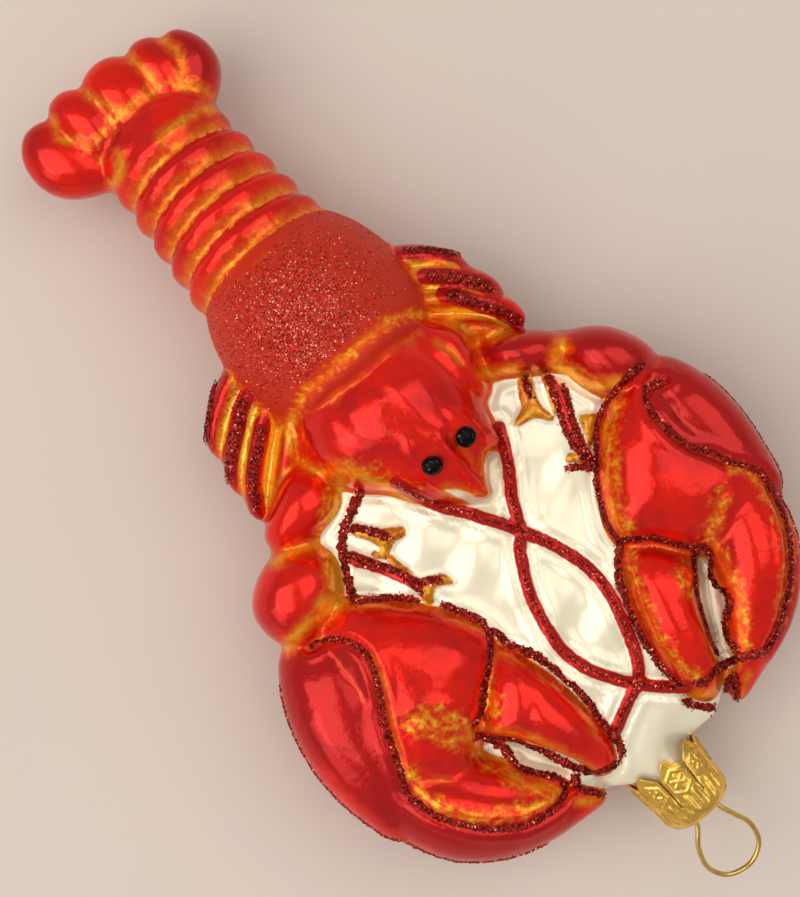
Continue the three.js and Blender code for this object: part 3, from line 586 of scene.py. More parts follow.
# What is painted where, each as (half-width, height at which it was measured, points).
# A half-width of None closes the points to an outline and fills it.
PAINT = dict(
    amber=[
        (0.5, 18, [
            (28.4, -10.5), (25.7, -11.6), (23.4, -13.6), (21.6, -16), (19.8, -18.4), (17.9, -20.8),
            (16.9, -23.4), (16.5, -25.6)]),
        (0.4, 18, [
            (16.5, -27.4), (13.5, -29.7), (11.9, -33.6), (10.4, -39.2), (9.7, -43.4),
            (9.9, -48.4)]),
        (0.25, 18, [(22.4, -33.5), (20.3, -36.6), (17.9, -40.3), (15.9, -44.9), (14.5, -48.5)]),
        (0.5, 18, [
            (26, -35.2), (24.4, -39), (23.8, -41.4), (23.4, -44.1), (21.2, -46.3), (19, -50.3)]),
        (0.5, 18, [(17.1, -53.3), (15.8, -54), (14.1, -55)]),
        (0.9, 18, [(8.6, -50), (10, -51.4), (12.4, -52), (14.9, -51.3)]),
        (0.5, 18, [(30.2, -31.4), (28.1, -33.1), (26.2, -34.5)]),
        (1.4, 18, [(-10, 7.6), (-11.9, 5.6), (-14.2, 4.4), (-15.7, 3.1)]),
        (1.1, 18, [(-15.8, 2.1), (-18.9, 2.9), (-21.5, 4.1), (-25.2, 5.2)]),
        (1.7, 18, [(-17.5, 0.4), (-19.3, -2.1), (-20.9, -4.4), (-23.9, -4.8)]),
        (1.2, 18, [(-21.2, -6), (-24.6, -5.3), (-28.6, -5.2), (-32, -5.7)]),
        (0.35, 18, [
            (-31.4, -6.3), (-27.7, -5.7), (-23.9, -6.3), (-21, -7.3), (-17.8, -9.7), (-14.7, -12.4),
            (-11.9, -15.3), (-10.8, -17.7), (-9.7, -20.2), (-8.4, -22.7)]),
        (0.3, 18, [
            (-23.3, -14.9), (-23.9, -17.6), (-25.4, -20.5), (-26.8, -23.1), (-28.5, -25.9),
            (-29.7, -28.7), (-31.2, -31.7)]),
        (0.9, 18, [
            (-19.6, -32.6), (-20.7, -34.4), (-20.3, -36.5), (-18.7, -39.3), (-19, -42.1),
            (-17.6, -45.2), (-15.4, -48.2)]),
        (0.3, 18, [
            (-8.9, -26.6), (-7.5, -29.4), (-6.1, -32.7), (-5.6, -35.8), (-5, -39.5), (-5.4, -43.3),
            (-5.8, -45.7)]),
        (0.3, 18, [(-9.5, -26.4), (-11.5, -28.4), (-13.8, -30.1), (-15.7, -31.7)]),
        (0.6, 18, [(-17.9, -33.3), (-15.9, -35.9), (-13.4, -39.3), (-11.6, -43.4), (-10.1, -47.2)]),
        (0.8, 18, [(-14.4, -51), (-12.8, -52.3), (-11.2, -53)]),
        (0.5, 22, [*GROOVE, (17.3, 15.2), (18, 12.1), (17.8, 9.5), (16.6, 6.2), (15, 3.9)]),
        (1.0, 22, [(17.6, 19), (17.9, 15.2), (18.8, 11.7), (20.8, 9.3), (23.5, 7.9)]),
        (1.0, 20, [
            (-8.7, 19.3), (-11, 18.3), (-11.8, 16.1), (-12.4, 13.6), (-11.6, 11.6), (-10, 9.3),
            (-8.6, 8.2)]),
        (1.2, 20, [(-9, 9.3), (-6.9, 6.4), (-5.3, 2.8), (-3.7, -1.2)]),
        (0.5, 22, [(14.2, 13.8), (14.9, 11.7), (14.7, 9.4)]),
        (1.4, 18, [
            (28, 1.4), (26.4, 0.8), (25.6, -0.6), (26.4, -2.8), (27, -5.1), (28.3, -6.9),
            (30.4, -8.2)]),
        (1.1, 18, [(16.6, 6), (17.8, 4.8), (20.4, 3.4)]),
        (0.6, 20, [(-6.8, 75.4), (-7.4, 74), (-8, 73), (-7.4, 71.7), (-5.9, 70.4), (-5.8, 69.3)]),
        (0.7, 20, [(-0.8, 75.6), (-0.2, 73.4), (0.7, 70.9), (1.4, 69.3), (2.7, 69)]),
        (0.7, 20, [(7.7, 75), (8.1, 72.4), (8, 70), (7.4, 68.6), (5, 69.1), (2.1, 69.5)]),
        (0.8, 20, [
            (13, 74), (13.5, 71), (12.6, 68.8), (11.1, 67.7), (10.8, 66.5), (12.2, 65.1),
            (13.1, 62.7)]),
        (0.9, 20, [(3.3, 63), (5.5, 62.9), (8.3, 62.6), (11, 61.9), (12, 60.9)]),
        (0.9, 20, [(-3, 65), (-4, 63.4), (-5.3, 62.6), (-6.6, 62.3)]),
    ],
    mottle=[
        (None, 18, [
            (-26.4, -25.2), (-24.1, -25), (-21.6, -26.2), (-19.5, -29.4), (-18.5, -31.2),
            (-20.3, -32.7), (-22, -33.8), (-23.7, -32.1), (-24.7, -29.3), (-26.2, -27.5)]),
        (None, 18, [(-13.6, -29.8), (-13.2, -31.4), (-13.6, -33.2), (-16, -33.2), (-15.4, -31.2)]),
        (0.9, 18, [
            (-30.4, -31.4), (-30.8, -35.5), (-29.7, -39.3), (-27.3, -42.8), (-23.4, -45.6),
            (-19.6, -47.2), (-15, -47.9)]),
        (1.0, 18, [
            (-19, -33), (-20.8, -35), (-20.4, -38), (-19.9, -41), (-19, -43.6), (-16.8, -46.6)]),
        (1.1, 18, [
            (28.9, -10.2), (25.8, -12), (22.8, -15.4), (20.1, -18.9), (17.9, -22.8),
            (17.2, -25.3)]),
        (0.9, 18, [(31.4, -30.6), (29.4, -32.4), (27.2, -33.3), (25.8, -34.3)]),
        (0.4, 18, [(26.2, -37), (24.9, -40.9), (23.9, -44.1), (21.6, -47.5), (19.6, -50)]),
        (0.5, 18, [
            (17, -27.8), (14.2, -30.4), (12.6, -34.2), (11.2, -39.6), (10.4, -44), (10.8, -48.6)]),
        (0.8, 18, [(19.8, -34.6), (18.8, -36.8), (17.8, -38.4)]),
        (0.6, 18, [
            (35, -28.2), (36.4, -31.6), (36.3, -35.9), (35.2, -40.3), (33.1, -43.8), (28.9, -47.9),
            (25.8, -50.1)]),
        (0.6, 22, GROOVE),
        (0.5, 20, [(-5.6, 68.6), (-2, 69.2), (3, 69.6), (8, 68.8), (11.6, 66.6)]),
        (1.8, 18, [
            (-10.4, 7.6), (-13.4, 4.9), (-16.4, 2.4), (-19.3, -2.1), (-21, -4.8), (-25, -5.4)]),
        (1.0, 20, [(-9.4, 9.8), (-6.5, 7.4), (-4.3, 3.2), (-2.6, -1.2)]),
    ],
    # Painted shade: the red deepened over the claws' outer flanks, the right arm and a fan lobe
    painted_shade=[
        (None, 18, [
            (-30, -8), (-25, -11), (-24, -14), (-26.5, -20.7), (-29.3, -25.8), (-31.6, -32),
            (-32.2, -36.2), (-29.7, -42), (-25, -47), (-18, -49.5), (-14, -50.5), (-18, -54.4),
            (-25.5, -53.4), (-32, -48), (-36.4, -40), (-38.5, -31), (-39, -20), (-37, -9),
            (-33, -6)]),
        (None, 18, [
            (34, -11.5), (32.2, -12.8), (31.5, -17.6), (32.8, -23), (35.2, -27.6), (37.8, -32.1),
            (37.3, -35.6), (34.8, -41.9), (29.8, -47.6), (24.3, -51.3), (20, -54), (27, -52.6),
            (34, -46.4), (39.4, -38), (41.8, -28), (42.4, -18), (39.8, -10), (36.5, -8)]),
        (None, 18, [
            (19, 9), (25, 7), (29.2, 2.8), (33.2, 1), (36.4, -2.6), (37.5, -8.5), (33, -9.5),
            (29, -7), (26.5, -3), (23, 1), (19, 5)]),
        (None, 20, [
            (11.4, 75), (15.6, 75.6), (18.4, 72), (18.4, 67), (16, 64), (12.6, 66), (12.6, 71)]),
    ],
    gold=[
        (None, 18, [
            (20.4, 2.7), (21.9, 1.5), (20.9, -0.5), (19.9, -2.9), (20, -4.6), (20.3, -6.2),
            (19.2, -5.8), (18.3, -4.4), (17, -3.8), (15.5, -3.5), (14.7, -3.1), (15.7, -2.4),
            (17.3, -1.8), (18.8, 0.5)]),
        (0.45, 18, [(22.7, 1.6), (22.9, -0.6), (22, -3), (20.9, -5.2)]),
        (None, 18, [
            (23, -8.1), (25.4, -10.1), (23.3, -11.5), (21.1, -13.1), (21.6, -11.5), (22.4, -9.7)]),
        (None, 18, [
            (17.1, -12.1), (18.2, -11.3), (19, -11.8), (19.4, -13.1), (19.4, -14.3), (19.3, -15.5),
            (18.7, -13.9), (18.2, -12.9)]),
        (None, 18, [
            (-12.8, 2), (-11.2, -0.2), (-9.8, -1.6), (-8.4, -2.6), (-7.4, -3.4), (-7.3, -4.3),
            (-8.2, -4.6), (-9.4, -4.4), (-10.7, -4.7), (-11.7, -5.1), (-12.1, -5), (-11.9, -3.8),
            (-12.1, -2.5), (-12.6, -1.2), (-13.6, 0.3)]),
        (0.5, 18, [(-13.2, -3.8), (-11.9, -5.2), (-11.6, -7.2), (-11, -9.4)]),
        (None, 18, [
            (-10.6, -11.1), (-9.3, -11.5), (-7.4, -12.6), (-6.9, -13.5), (-6.8, -14.4),
            (-7.4, -14.6), (-8.4, -13.8), (-9.4, -13.4), (-10.4, -14), (-11.2, -14.9), (-12, -14.9),
            (-12.4, -14.1), (-11.8, -12.7)]),
    ],
    red=[
        (None, 18, [
            (23.8, -0.2), (24, -2.6), (23.3, -5.5), (22.3, -8.6), (21.2, -12.2), (20.4, -15.4),
            (19.7, -15.6), (19.7, -13.3), (19.8, -10.9), (20.9, -7.4), (21.9, -4.2)]),
        (None, 18, [
            (-15.6, -1), (-14, -3.4), (-12.6, -6.1), (-11.4, -8.6), (-10.4, -11.1), (-10.8, -12.3),
            (-11.9, -11.7), (-12.9, -9.5), (-14.1, -7), (-15.5, -4.7), (-16.8, -2.4)]),
        (0.5, 18, [(-10.4, -11.9), (-9.2, -12.2), (-8.3, -12.8)]),
    ],
    white=[
        (None, 20, [
            (10.3, -4), (8.9, -3.7), (7.5, -4.7), (6.6, -6.3), (6, -8), (4.8, -8.2), (3.7, -7.3),
            (2.8, -5.2), (1, -3.3), (1.8, -5.6), (3.1, -8.3), (4.3, -10.5), (5.7, -12.1),
            (7.1, -10.5), (8.9, -7.4), (10.2, -5.5)]),
    ],
    gap=[
        (None, 17, [
            (22.6, -35.8), (23.4, -36.4), (22.7, -38.9), (22.1, -41.4), (21, -43.5), (19.3, -45.1),
            (18, -47.5), (17.2, -49.8), (16.7, -51.3), (15.1, -50.7), (15.3, -48.2), (17, -44.9),
            (20, -39.6)]),
        (None, 17, [
            (-16.9, -37.8), (-15.2, -39), (-13.8, -41), (-12.4, -43.3), (-10.7, -46.7), (-10, -50),
            (-11.9, -49.4), (-12.8, -47.6), (-14.2, -45.4), (-15.9, -43), (-16.8, -40.4)]),
    ],
)

# Low ridges and hollows, each as (rise, half-width, height at which it was measured, points)
RIDGES = [
    (-0.45, 0.8, 22, GROOVE),
    (0.4, 0.9, 22, [
        (-8.3, 17.2), (-6.4, 18.6), (-4.1, 19.1), (-0.6, 19.2), (3.7, 19.2), (8, 19.2),
        (11.4, 18.8), (13.6, 17.6)]),
    (-0.3, 1.3, 27, [(-0.8, 19.2), (-3.8, 14.7), (-4.3, 9.6), (-3.6, 4.9)]),
    (0.25, 1.2, 27, [(4.6, 17.2), (5.3, 12.2), (5.6, 8.1), (6.2, 4)]),
    (0.3, 0.7, 18, [(-25.2, -24.3), (-23.2, -24.7), (-21, -26.2), (-18.8, -28.7), (-18.3, -31.3)]),
    (-0.4, 1.1, 18, [(-28.3, -32.4), (-27.2, -36.1), (-25, -39.9), (-22.2, -43.3), (-19.2, -45.8)]),
    (-0.3, 0.9, 18, [(-24.9, -30.2), (-23.8, -33.1), (-20.9, -35.6)]),
    (-0.4, 0.8, 18, [(31.6, -30.6), (29.4, -32.4), (27.2, -33.3), (25.2, -34.6)]),
    (-0.3, 1.2, 18, [(-9.8, -35), (-12.4, -38), (-11, -43)]),
    (0.35, 0.6, 24, [(1.2, 5.2), (0.7, 3), (0.2, 0.5), (0.6, -1.9), (1.7, -4.3), (3.3, -6.6)]),
    (0.35, 0.6, 24, [(8.9, 4.9), (9.9, 2.3), (10, -0.8), (9.4, -2.9)]),
    (0.45, 0.6, 24, [(5.1, 3), (5, -0.6), (4.9, -4.6), (5, -7.3)]),
    (-0.35, 0.7, 24, [(3.6, 2.6), (3.4, -1.4), (4, -5)]),
    (-0.35, 0.7, 24, [(6.8, 2.2), (6.9, -1.2), (6.3, -4.4)]),
    (-0.4, 0.6, 22, [(13.4, 16.6), (14.4, 13.8), (15, 11.7), (14.9, 8.6), (13.8, 4.4)]),
]


def met(tree, x, y, height, below=False):
    """The place and normal where the camera's line of sight through this spot meets the glass, or
    one that comes straight up from below."""
    start, way = VIEW, np.array([x, y, height]) - VIEW
    if below:
        start, way = np.array([x, y, -20.0]), (0, 0, 1)
    return tree.ray_cast(Vector((start + TO_MIDDLE) * MM), Vector(way).normalized())[:2]


def drawn(tree, height, points, below=False, shortest=4):
    """A line drawn on the glass where the camera sees it, as runs of (places, normals) in mm."""
    runs = [[]]
    for x, y in in_steps(points):
        place = met(tree, x, y, height, below)[0]
        if place is not None:
            runs[-1].append(np.array(place) / MM)
        elif len(runs[-1]) > shortest:
            runs.append([])
    return [settled(tree, np.array(run)) for run in runs if len(run) > shortest]


def beside(tree, height, points):
    """A line laid on the glass at the nearest places to one drawn in the air beside it."""
    line = in_steps(points)
    return settled(tree, np.c_[line, np.full(len(line), float(height))] + TO_MIDDLE)


def settled(tree, places, times=3):
    """The line with its jumps evened out, laid back on the surface."""
    for _ in range(times):
        places[1:-1] = places[1:-1] * 0.5 + (places[:-2] + places[2:]) * 0.25
    found = [tree.find_nearest(Vector(place * MM)) for place in places]
    return np.array([hit[0] for hit in found]) / MM, np.array([hit[1] for hit in found])


def drawn_distance(height, points, places, closed=False, reach=4):
    """The distance of each place from a drawn line, as the camera over the ornament sees it.
    Inside a closed outline it is negative, and out of the line's reach it is only large."""
    line = smooth_line(points, closed)
    shrunk = (VIEW[2] - height) / (VIEW[2] - places[:, 2])
    seen = VIEW[:2] + (places[:, :2] - VIEW[:2]) * shrunk[:, None]
    near = np.all((seen > line.min(0) - reach) & (seen < line.max(0) + reach), axis=1)
    away = np.full(len(places), FAR)
    away[near] = distance_to(line, seen[near])
    if closed:
        x, y = seen[near].T
        crossings = np.zeros(len(x), int)
        for (ax, ay), (bx, by) in zip(line, np.roll(line, -1, axis=0)):
            if ay != by:
                crossings += ((ay > y) != (by > y)) & (x < ax + (bx - ax) * (y - ay) / (by - ay))
        away[near] *= np.where(crossings % 2 == 1, -1, 1)
    return away


def line_distance(lines, places):
    """The distance of each place from the nearest of these drawn lines."""
    return np.minimum.reduce([drawn_distance(*line, places) for line in lines.values()])


def inside(marks, places):
    """How far each place lies inside the nearest of these painted lines and outlines."""
    best = np.full(len(places), -FAR)
    for half, height, points in marks:
        away = drawn_distance(height, points, places, closed=half is None)
        best = np.maximum(best, (half or 0) - away)
    return best


# --- The blown glass ---------------------------------------------------------------------------

FACING = (0.15, 0.5)  # relief fades out between these slopes, towards the sides of the glass
FURROW_WIDTH = 0.7
# Low banks, as (rise, width, distance from what they run along)
BANKS = dict(furrow=(0.28, 0.6, 1.5), feeler=(0.36, 0.5, 2.2), shell=(0.34, 0.55, 1.8))
# Relief of what is painted, as (rise, where its slope starts and ends inside the outline)
RELIEF = dict(legs=(0.7, -0.35, 0.6), white=(-0.5, -0.3, 0.5), gap=(-1.6, -0.2, 0.7))
GAP_TOP = (17, 19)  # a gap is only pressed into what lies higher than this
OFF_SHELL = (0.2, 0.9)  # the ground's relief fades out between these distances from the forms
FEELER_ENDS = (-0.1, 0.3)  # and the feelers between these
# Soft folds of the ground, each a wave by (turns along x, along y, start)
FOLDS = [(0.6, 0.3, 0.8), (-0.4, 0.5, 2.1), (0.35, -0.8, 4.0)]
FOLD_RISE = 0.5
# How crisp the pearl ground's and the creases' painted edges are
PEARL_EDGE, CREASE_EDGE = 2.2, 0.6


def evened(piece, values, times):
    """Values on the vertices, each mixed again and again with its neighbours'."""
    edges = np.empty(len(piece.data.edges) * 2, int)
    piece.data.edges.foreach_get("vertices", edges)
    a, b = edges.reshape(-1, 2).T
    count = np.bincount(np.r_[a, b], minlength=len(values))
    values = values.reshape(len(values), -1)
    for _ in range(times):
        around = [np.bincount(np.r_[a, b], np.r_[axis[b], axis[a]], len(values)) / count
                  for axis in values.T]
        values = (values + np.stack(around, -1)) / 2
    return values


def nearest(reach, *left_out):
    """The distance from the nearest of the groups, apart from these."""
    return np.minimum.reduce([away for name, away in reach.items() if name not in left_out])


def carve(figure, trees, settings):
    """Presses the claws' furrows, raises the feelers and legs and folds the ground round them."""
    whole, normals = mesh_places(figure), normals_of(figure)
    places = whole / MM - TO_MIDDLE
    facing = ramp(np.abs(normals[:, 2]), *FACING)
    shell = nearest({name: distances(tree, whole) for name, tree in trees.items()
                     if name != "ground"})
    feeler = line_distance(FEELERS, places)
    legs = np.maximum(inside(PAINT["gold"], places), inside(PAINT["red"], places))
    x, y, z = places.T
    folds = sum(np.sin(along_x * x + along_y * y + start) for along_x, along_y, start in FOLDS)

    def relief(name, depth_inside):
        rise, start, end = RELIEF[name]
        return rise * ramp(depth_inside, start, end)

    shift = ridge(feeler, *BANKS["feeler"]) + ridge(shell, *BANKS["shell"]) + relief("legs", legs)
    shift += folds * FOLD_RISE / len(FOLDS)
    shift *= ramp(shell, *OFF_SHELL)
    shift += relief("white", inside(PAINT["white"], places))
    dome = np.sqrt(np.clip(1 - (feeler / FEELER_HALF) ** 2, 0, 1))
    shift += ramp(shell, *FEELER_ENDS) * settings.feeler_height / MM * dome
    for line in FURROWS.values():
        away = drawn_distance(*line, places)
        shift += ridge(away, *BANKS["furrow"])
        shift -= ridge(away, settings.furrow_depth / MM, FURROW_WIDTH)
    for rise, half, height, points in RIDGES:
        shift += ridge(drawn_distance(height, points, places), rise, half)
    shift = shift * facing + relief("gap", inside(PAINT["gap"], places)) * ramp(z, *GAP_TOP)
    places = places + normals * shift[:, None]
    places[:, 2] = np.maximum(places[:, 2], 0)
    move_mesh(figure, (places + TO_MIDDLE) * MM)


def paint_zones(figure, trees):
    """How far each vertex lies inside each painted zone, as attributes for the lacquer."""
    places = mesh_places(figure)
    flat = places / MM - TO_MIDDLE
    reach = {name: distances(tree, places) for name, tree in trees.items()}
    shell = nearest(reach, "ground", "legs")
    zones = {name: inside(marks, flat) for name, marks in PAINT.items()}
    pearl = evened(figure, np.minimum(shell, reach["legs"]) - reach["ground"], times=2)[:, 0]
    pearl *= PEARL_EDGE
    zones["pearl"] = np.maximum.reduce([pearl, zones.pop("white"), zones.pop("gap")])
    zones["red"] = np.maximum.reduce([zones["red"], FEELER_HALF - line_distance(FEELERS, flat),
                                      BAR_HALF - line_distance(LEG_BARS, flat)])
    along = (TAIL["rear"] - flat[:, 1] + TAIL["arch"] * np.abs(flat[:, 2] - SEAM)) % TAIL["pitch"]
    on_rings = (flat[:, 1] > FOLD_Y[0]) & (flat[:, 1] < FOLD_Y[1])
    crease = np.where(on_rings, (along - RING_RED) * CREASE_EDGE, -FAR)
    zones["amber"] = np.maximum(zones["amber"], crease)
    zones["web"] = shell - reach["legs"]
    zones["matte"] = nearest(reach, "back") - reach["back"]
    sunk = np.sum((evened(figure, places, times=30) - places) * normals_of(figure), axis=1)
    zones["valley"] = sunk / MM
    for name, values in zones.items():
        add_floats(figure, name, values)


# --- Glitter -----------------------------------------------------------------------------------

# Glued lines, as (half-width, height of the crust, flakes as a share of a full line's, how far the
# flakes are strewn in half-widths, how much brighter the crust is)
GLUE = dict(
    edge=(0.78, 0.3, 1, 1, 0), furrow=(0.66, 0.3, 0.8, 1, 0), feeler=(0.4, 0.2, 0.6, 1, 0.2),
    foot=(0.62, 0.3, 1, 1, 0), bar=(0.8, 0.3, 1.1, 1, 0), under=(0.6, 0.3, 1, 1, 0),
    seam=(0.26, 0.12, 0.9, 3.2, 0),
)
USUAL_WIDTH = 0.0012  # the setting at which the half-widths hold, in metres
OFF_TABLE = 1.2  # a line that comes closer to the table than this is left out
LIFT = 0.04  # how far a flake stands off what it lies on
# Loose flakes on the back: a dense patch and a thin one, each as (middle, spread) along x and y
DUST = dict(x=[(0.5, 5.6), (2, 10)], y=[(28.5, 5.6), (30, 8)], ends=(21.8, 38.8), height=30)
SIZES = dict(lines=(0.7, 1.25), back=(0.4, 1.0))  # of flakes, as shares of the setting
LUMPS = dict(width=0.16, side=0.12, height=0.25)  # of a crust, as shares of its own measures
EMBEDDED = 0.25  # how far a crust reaches into the glass


def crust(places, normals, half, rise, dice, sides=8):
    """A lumpy half-round strip of glue and grains along a line, closed at its ends."""
    steps = len(places)
    aside = to_length_one(np.cross(to_length_one(np.gradient(places, axis=0)), normals))
    taper = np.clip(np.minimum(np.arange(steps), np.arange(steps)[::-1]) / 3, 0.25, 1)[:, None]
    turn = np.linspace(0, 2 * math.pi, sides, endpoint=False)
    wide = half * taper * (1 + LUMPS["width"] * dice.standard_normal((steps, 1))
                           + LUMPS["side"] * dice.standard_normal((steps, sides)))
    high = rise * taper * (1 + LUMPS["height"] * dice.standard_normal((steps, sides)))
    high = np.where(np.sin(turn) < 0, EMBEDDED, high)
    ring = (places[:, None] + aside[:, None] * (wide * np.cos(turn))[..., None]
            + normals[:, None] * (high * np.sin(turn))[..., None])
    faces = [(i * sides + j, i * sides + (j + 1) % sides, (i + 1) * sides + (j + 1) % sides,
              (i + 1) * sides + j) for i in range(steps - 1) for j in range(sides)]
    faces += [tuple(range(sides))[::-1], tuple(range((steps - 1) * sides, steps * sides))]
    return ring.reshape(-1, 3), faces


def flakes(places, normals, sizes, dice, tilt=0.6):
    """Square flakes lying every way at these places."""
    lean = to_length_one(normals + tilt * dice.standard_normal(normals.shape))
    across = to_length_one(np.cross(lean, dice.standard_normal(normals.shape)))
    along = np.cross(lean, across)
    half = sizes[:, None] / 2
    corners = np.stack([places + way * half for way in (across, along, -across, -along)], 1)
    return corners.reshape(-1, 3), np.arange(len(places) * 4).reshape(-1, 4)


def gathered(parts):
    """Several (places, faces) as one."""
    faces, base = [], 0
    for places, their in parts:
        faces += [tuple(int(i) + base for i in face) for face in their]
        base += len(places)
    return np.vstack([places for places, _ in parts]), faces


def glitter_lines(tree, settings, dice):
    """Every glued line of glitter: its crust, and the flakes caught on and beside it."""
    above, below = False, True
    edges = {name: line for name, line in GLITTER.items() if name.endswith("_edge")}
    plan = [("edge", GLITTER, [above]), ("furrow", FURROWS, [above, below]),
            ("feeler", FEELERS, [above, below]), ("foot", SHORT_LEGS, [above]),
            ("bar", LEG_BARS, [above]), ("under", edges, [below])]
    runs = [(kind, *run) for kind, lines, sides in plan for line in lines.values() for side in sides
            for run in drawn(tree, *line, side)]
    runs += [("seam", *beside(tree, *line)) for line in SEAMS.values()]
    parts, spots, tints = [], [], []
    for kind, places, normals in runs:
        if places[:, 2].min() < OFF_TABLE:
            continue
        half, rise, share, strewn, paler = GLUE[kind]
        half = half * settings.line_width / USUAL_WIDTH
        parts.append(crust(places, normals, half, rise, dice))
        tints.append(dice.uniform(0, 0.5, len(parts[-1][0])) + paler)
        count = int(walked(places)[-1] * settings.flakes_per_mm * share)
        along = dice.uniform(0, 1, count)
        base, up = at_share(places, along), at_share(normals, along)
        aside = to_length_one(np.cross(at_share(np.gradient(places, axis=0), along), up))
        off = (np.clip(dice.normal(0, 0.55, count), -1.4, 1.4) * strewn)[:, None]
        on_crust = 0.3 * np.sqrt(np.clip(1 - off ** 2, 0, 1)) * (strewn == 1)
        spots.append((base + aside * (off * half) + up * (on_crust + LIFT), up + 0.8 * aside * off))
    places, normals = (np.vstack(some) for some in zip(*spots))
    sizes = settings.flake_size / MM * dice.uniform(*SIZES["lines"], len(places))
    parts.append(flakes(places, normals, sizes, dice))
    piece = new_mesh("glitter_lines", *gathered(parts))
    tints.append(np.repeat(dice.uniform(0, 1, len(sizes)), 4))
    add_floats(piece, "tint", np.concatenate(tints))
    return piece


def back_sparkle(tree, settings, dice):
    """Fine loose flakes over the satin back, thickest over its middle."""
    counts = settings.back_flakes, settings.back_flakes // 2
    x, y = (np.concatenate([dice.normal(*patch, count) for patch, count in zip(DUST[axis], counts)])
            for axis in "xy")
    spots = []
    for a, b in zip(x, y):
        if DUST["ends"][0] < b < DUST["ends"][1]:
            place, normal = met(tree, a, b, DUST["height"])
            if place is not None and normal.z > 0.2:
                spots.append((*place, *normal))
    places, normals = np.hsplit(np.array(spots), 2)
    sizes = settings.flake_size / MM * dice.uniform(*SIZES["back"], len(spots))
    lifted = places / MM + normals * LIFT
    piece = new_mesh("back_sparkle", *flakes(lifted, normals, sizes, dice, tilt=0.45))
    add_floats(piece, "tint", np.repeat(dice.uniform(0.45, 1.0, len(spots)), 4))
    return piece


# --- Eyes, cap and wire ------------------------------------------------------------------------

EYES = [(2.0, 0.6, 1.5), (8.4, 0.6, 1.6)]  # where the camera sees them, and their radii
EYE = dict(height=20, dome=0.7, lumps=0.06, raised=0.25)
CAP = dict(end=-65.4, tips=-54.6, radius=5.6, flare=0.8, round=2.2, wall=0.35, prongs=8)
PRONG = dict(rows=90, columns=45, flat=0.2, shoulder=1.9, slot_root=3.6, slot=0.5)
# Waves across a prong near the closed end, its raised edges, and where along it the waves
# start and end
FLUTES = dict(rise=0.12, edge=0.16, start=(1.2, 2.4), end=(4.2, 5.4), depth=1.2)
# The hexagon and star: how far up the prong, how wide, and their lines' half-widths
STAMP = dict(middle=7.1, hexagon=1.75, line=0.16, star=(1.15, 1.4), ray=0.13)
WIRE = [(-2.4, -56, 0), (-2.2, -60, 0), (-2.1, -64, 0), (-2.2, -66.4, -0.1), (-4.2, -69.2, -0.8),
        (-5.2, -72.8, -2), (-3.6, -76, -3.2), (0.2, -77, -3.6), (3.2, -75.2, -3), (4, -71.8, -1.8),
        (3.1, -69, -0.7), (2.2, -66.4, -0.1), (2.1, -64, 0), (2.2, -60, 0), (2.4, -56, 0)]
HOLES = dict(aside=2.1, radius=0.75, depth=0.6)  # the wire's two holes in the cap's closed end


def eye_beads(tree, dice):
    """Two drops of thick black paint, each with a low lumpy dome."""
    beads = []
    for x, y, radius in EYES:
        place, normal = met(tree, x, y, EYE["height"])
        bead, unit = add_ball(40, radius * MM)
        waves = [np.sin(unit @ dice.normal(0, 2.6, 3) + dice.uniform(0, 6)) for _ in range(5)]
        lumps = sum(waves) / len(waves)
        turn = np.array(normal.to_track_quat("Z", "Y").to_matrix())
        shaped = unit * [1, 1, EYE["dome"]] * (1 + EYE["lumps"] * lumps)[:, None] * radius
        shaped += [0, 0, EYE["raised"]]
        move_mesh(bead, shaped @ turn.T * MM + np.array(place))
        beads.append(bead)
    return join(beads, "eye_beads")


def stamped(x, y):
    """How proud the stamping stands at a place on a prong: a six-rayed star in a hexagon."""
    away = np.hypot(x, y)
    side = np.maximum(np.abs(x), np.abs(x) / 2 + np.abs(y) * math.sqrt(3) / 2)
    off_ray = np.abs(np.sin(3 * np.arctan2(x, y))) * away / 3
    star = ridge(off_ray, 1, STAMP["ray"]) * (1 - ramp(away, *STAMP["star"]))
    return np.maximum(ridge(side, 1, STAMP["line"], STAMP["hexagon"]), star)


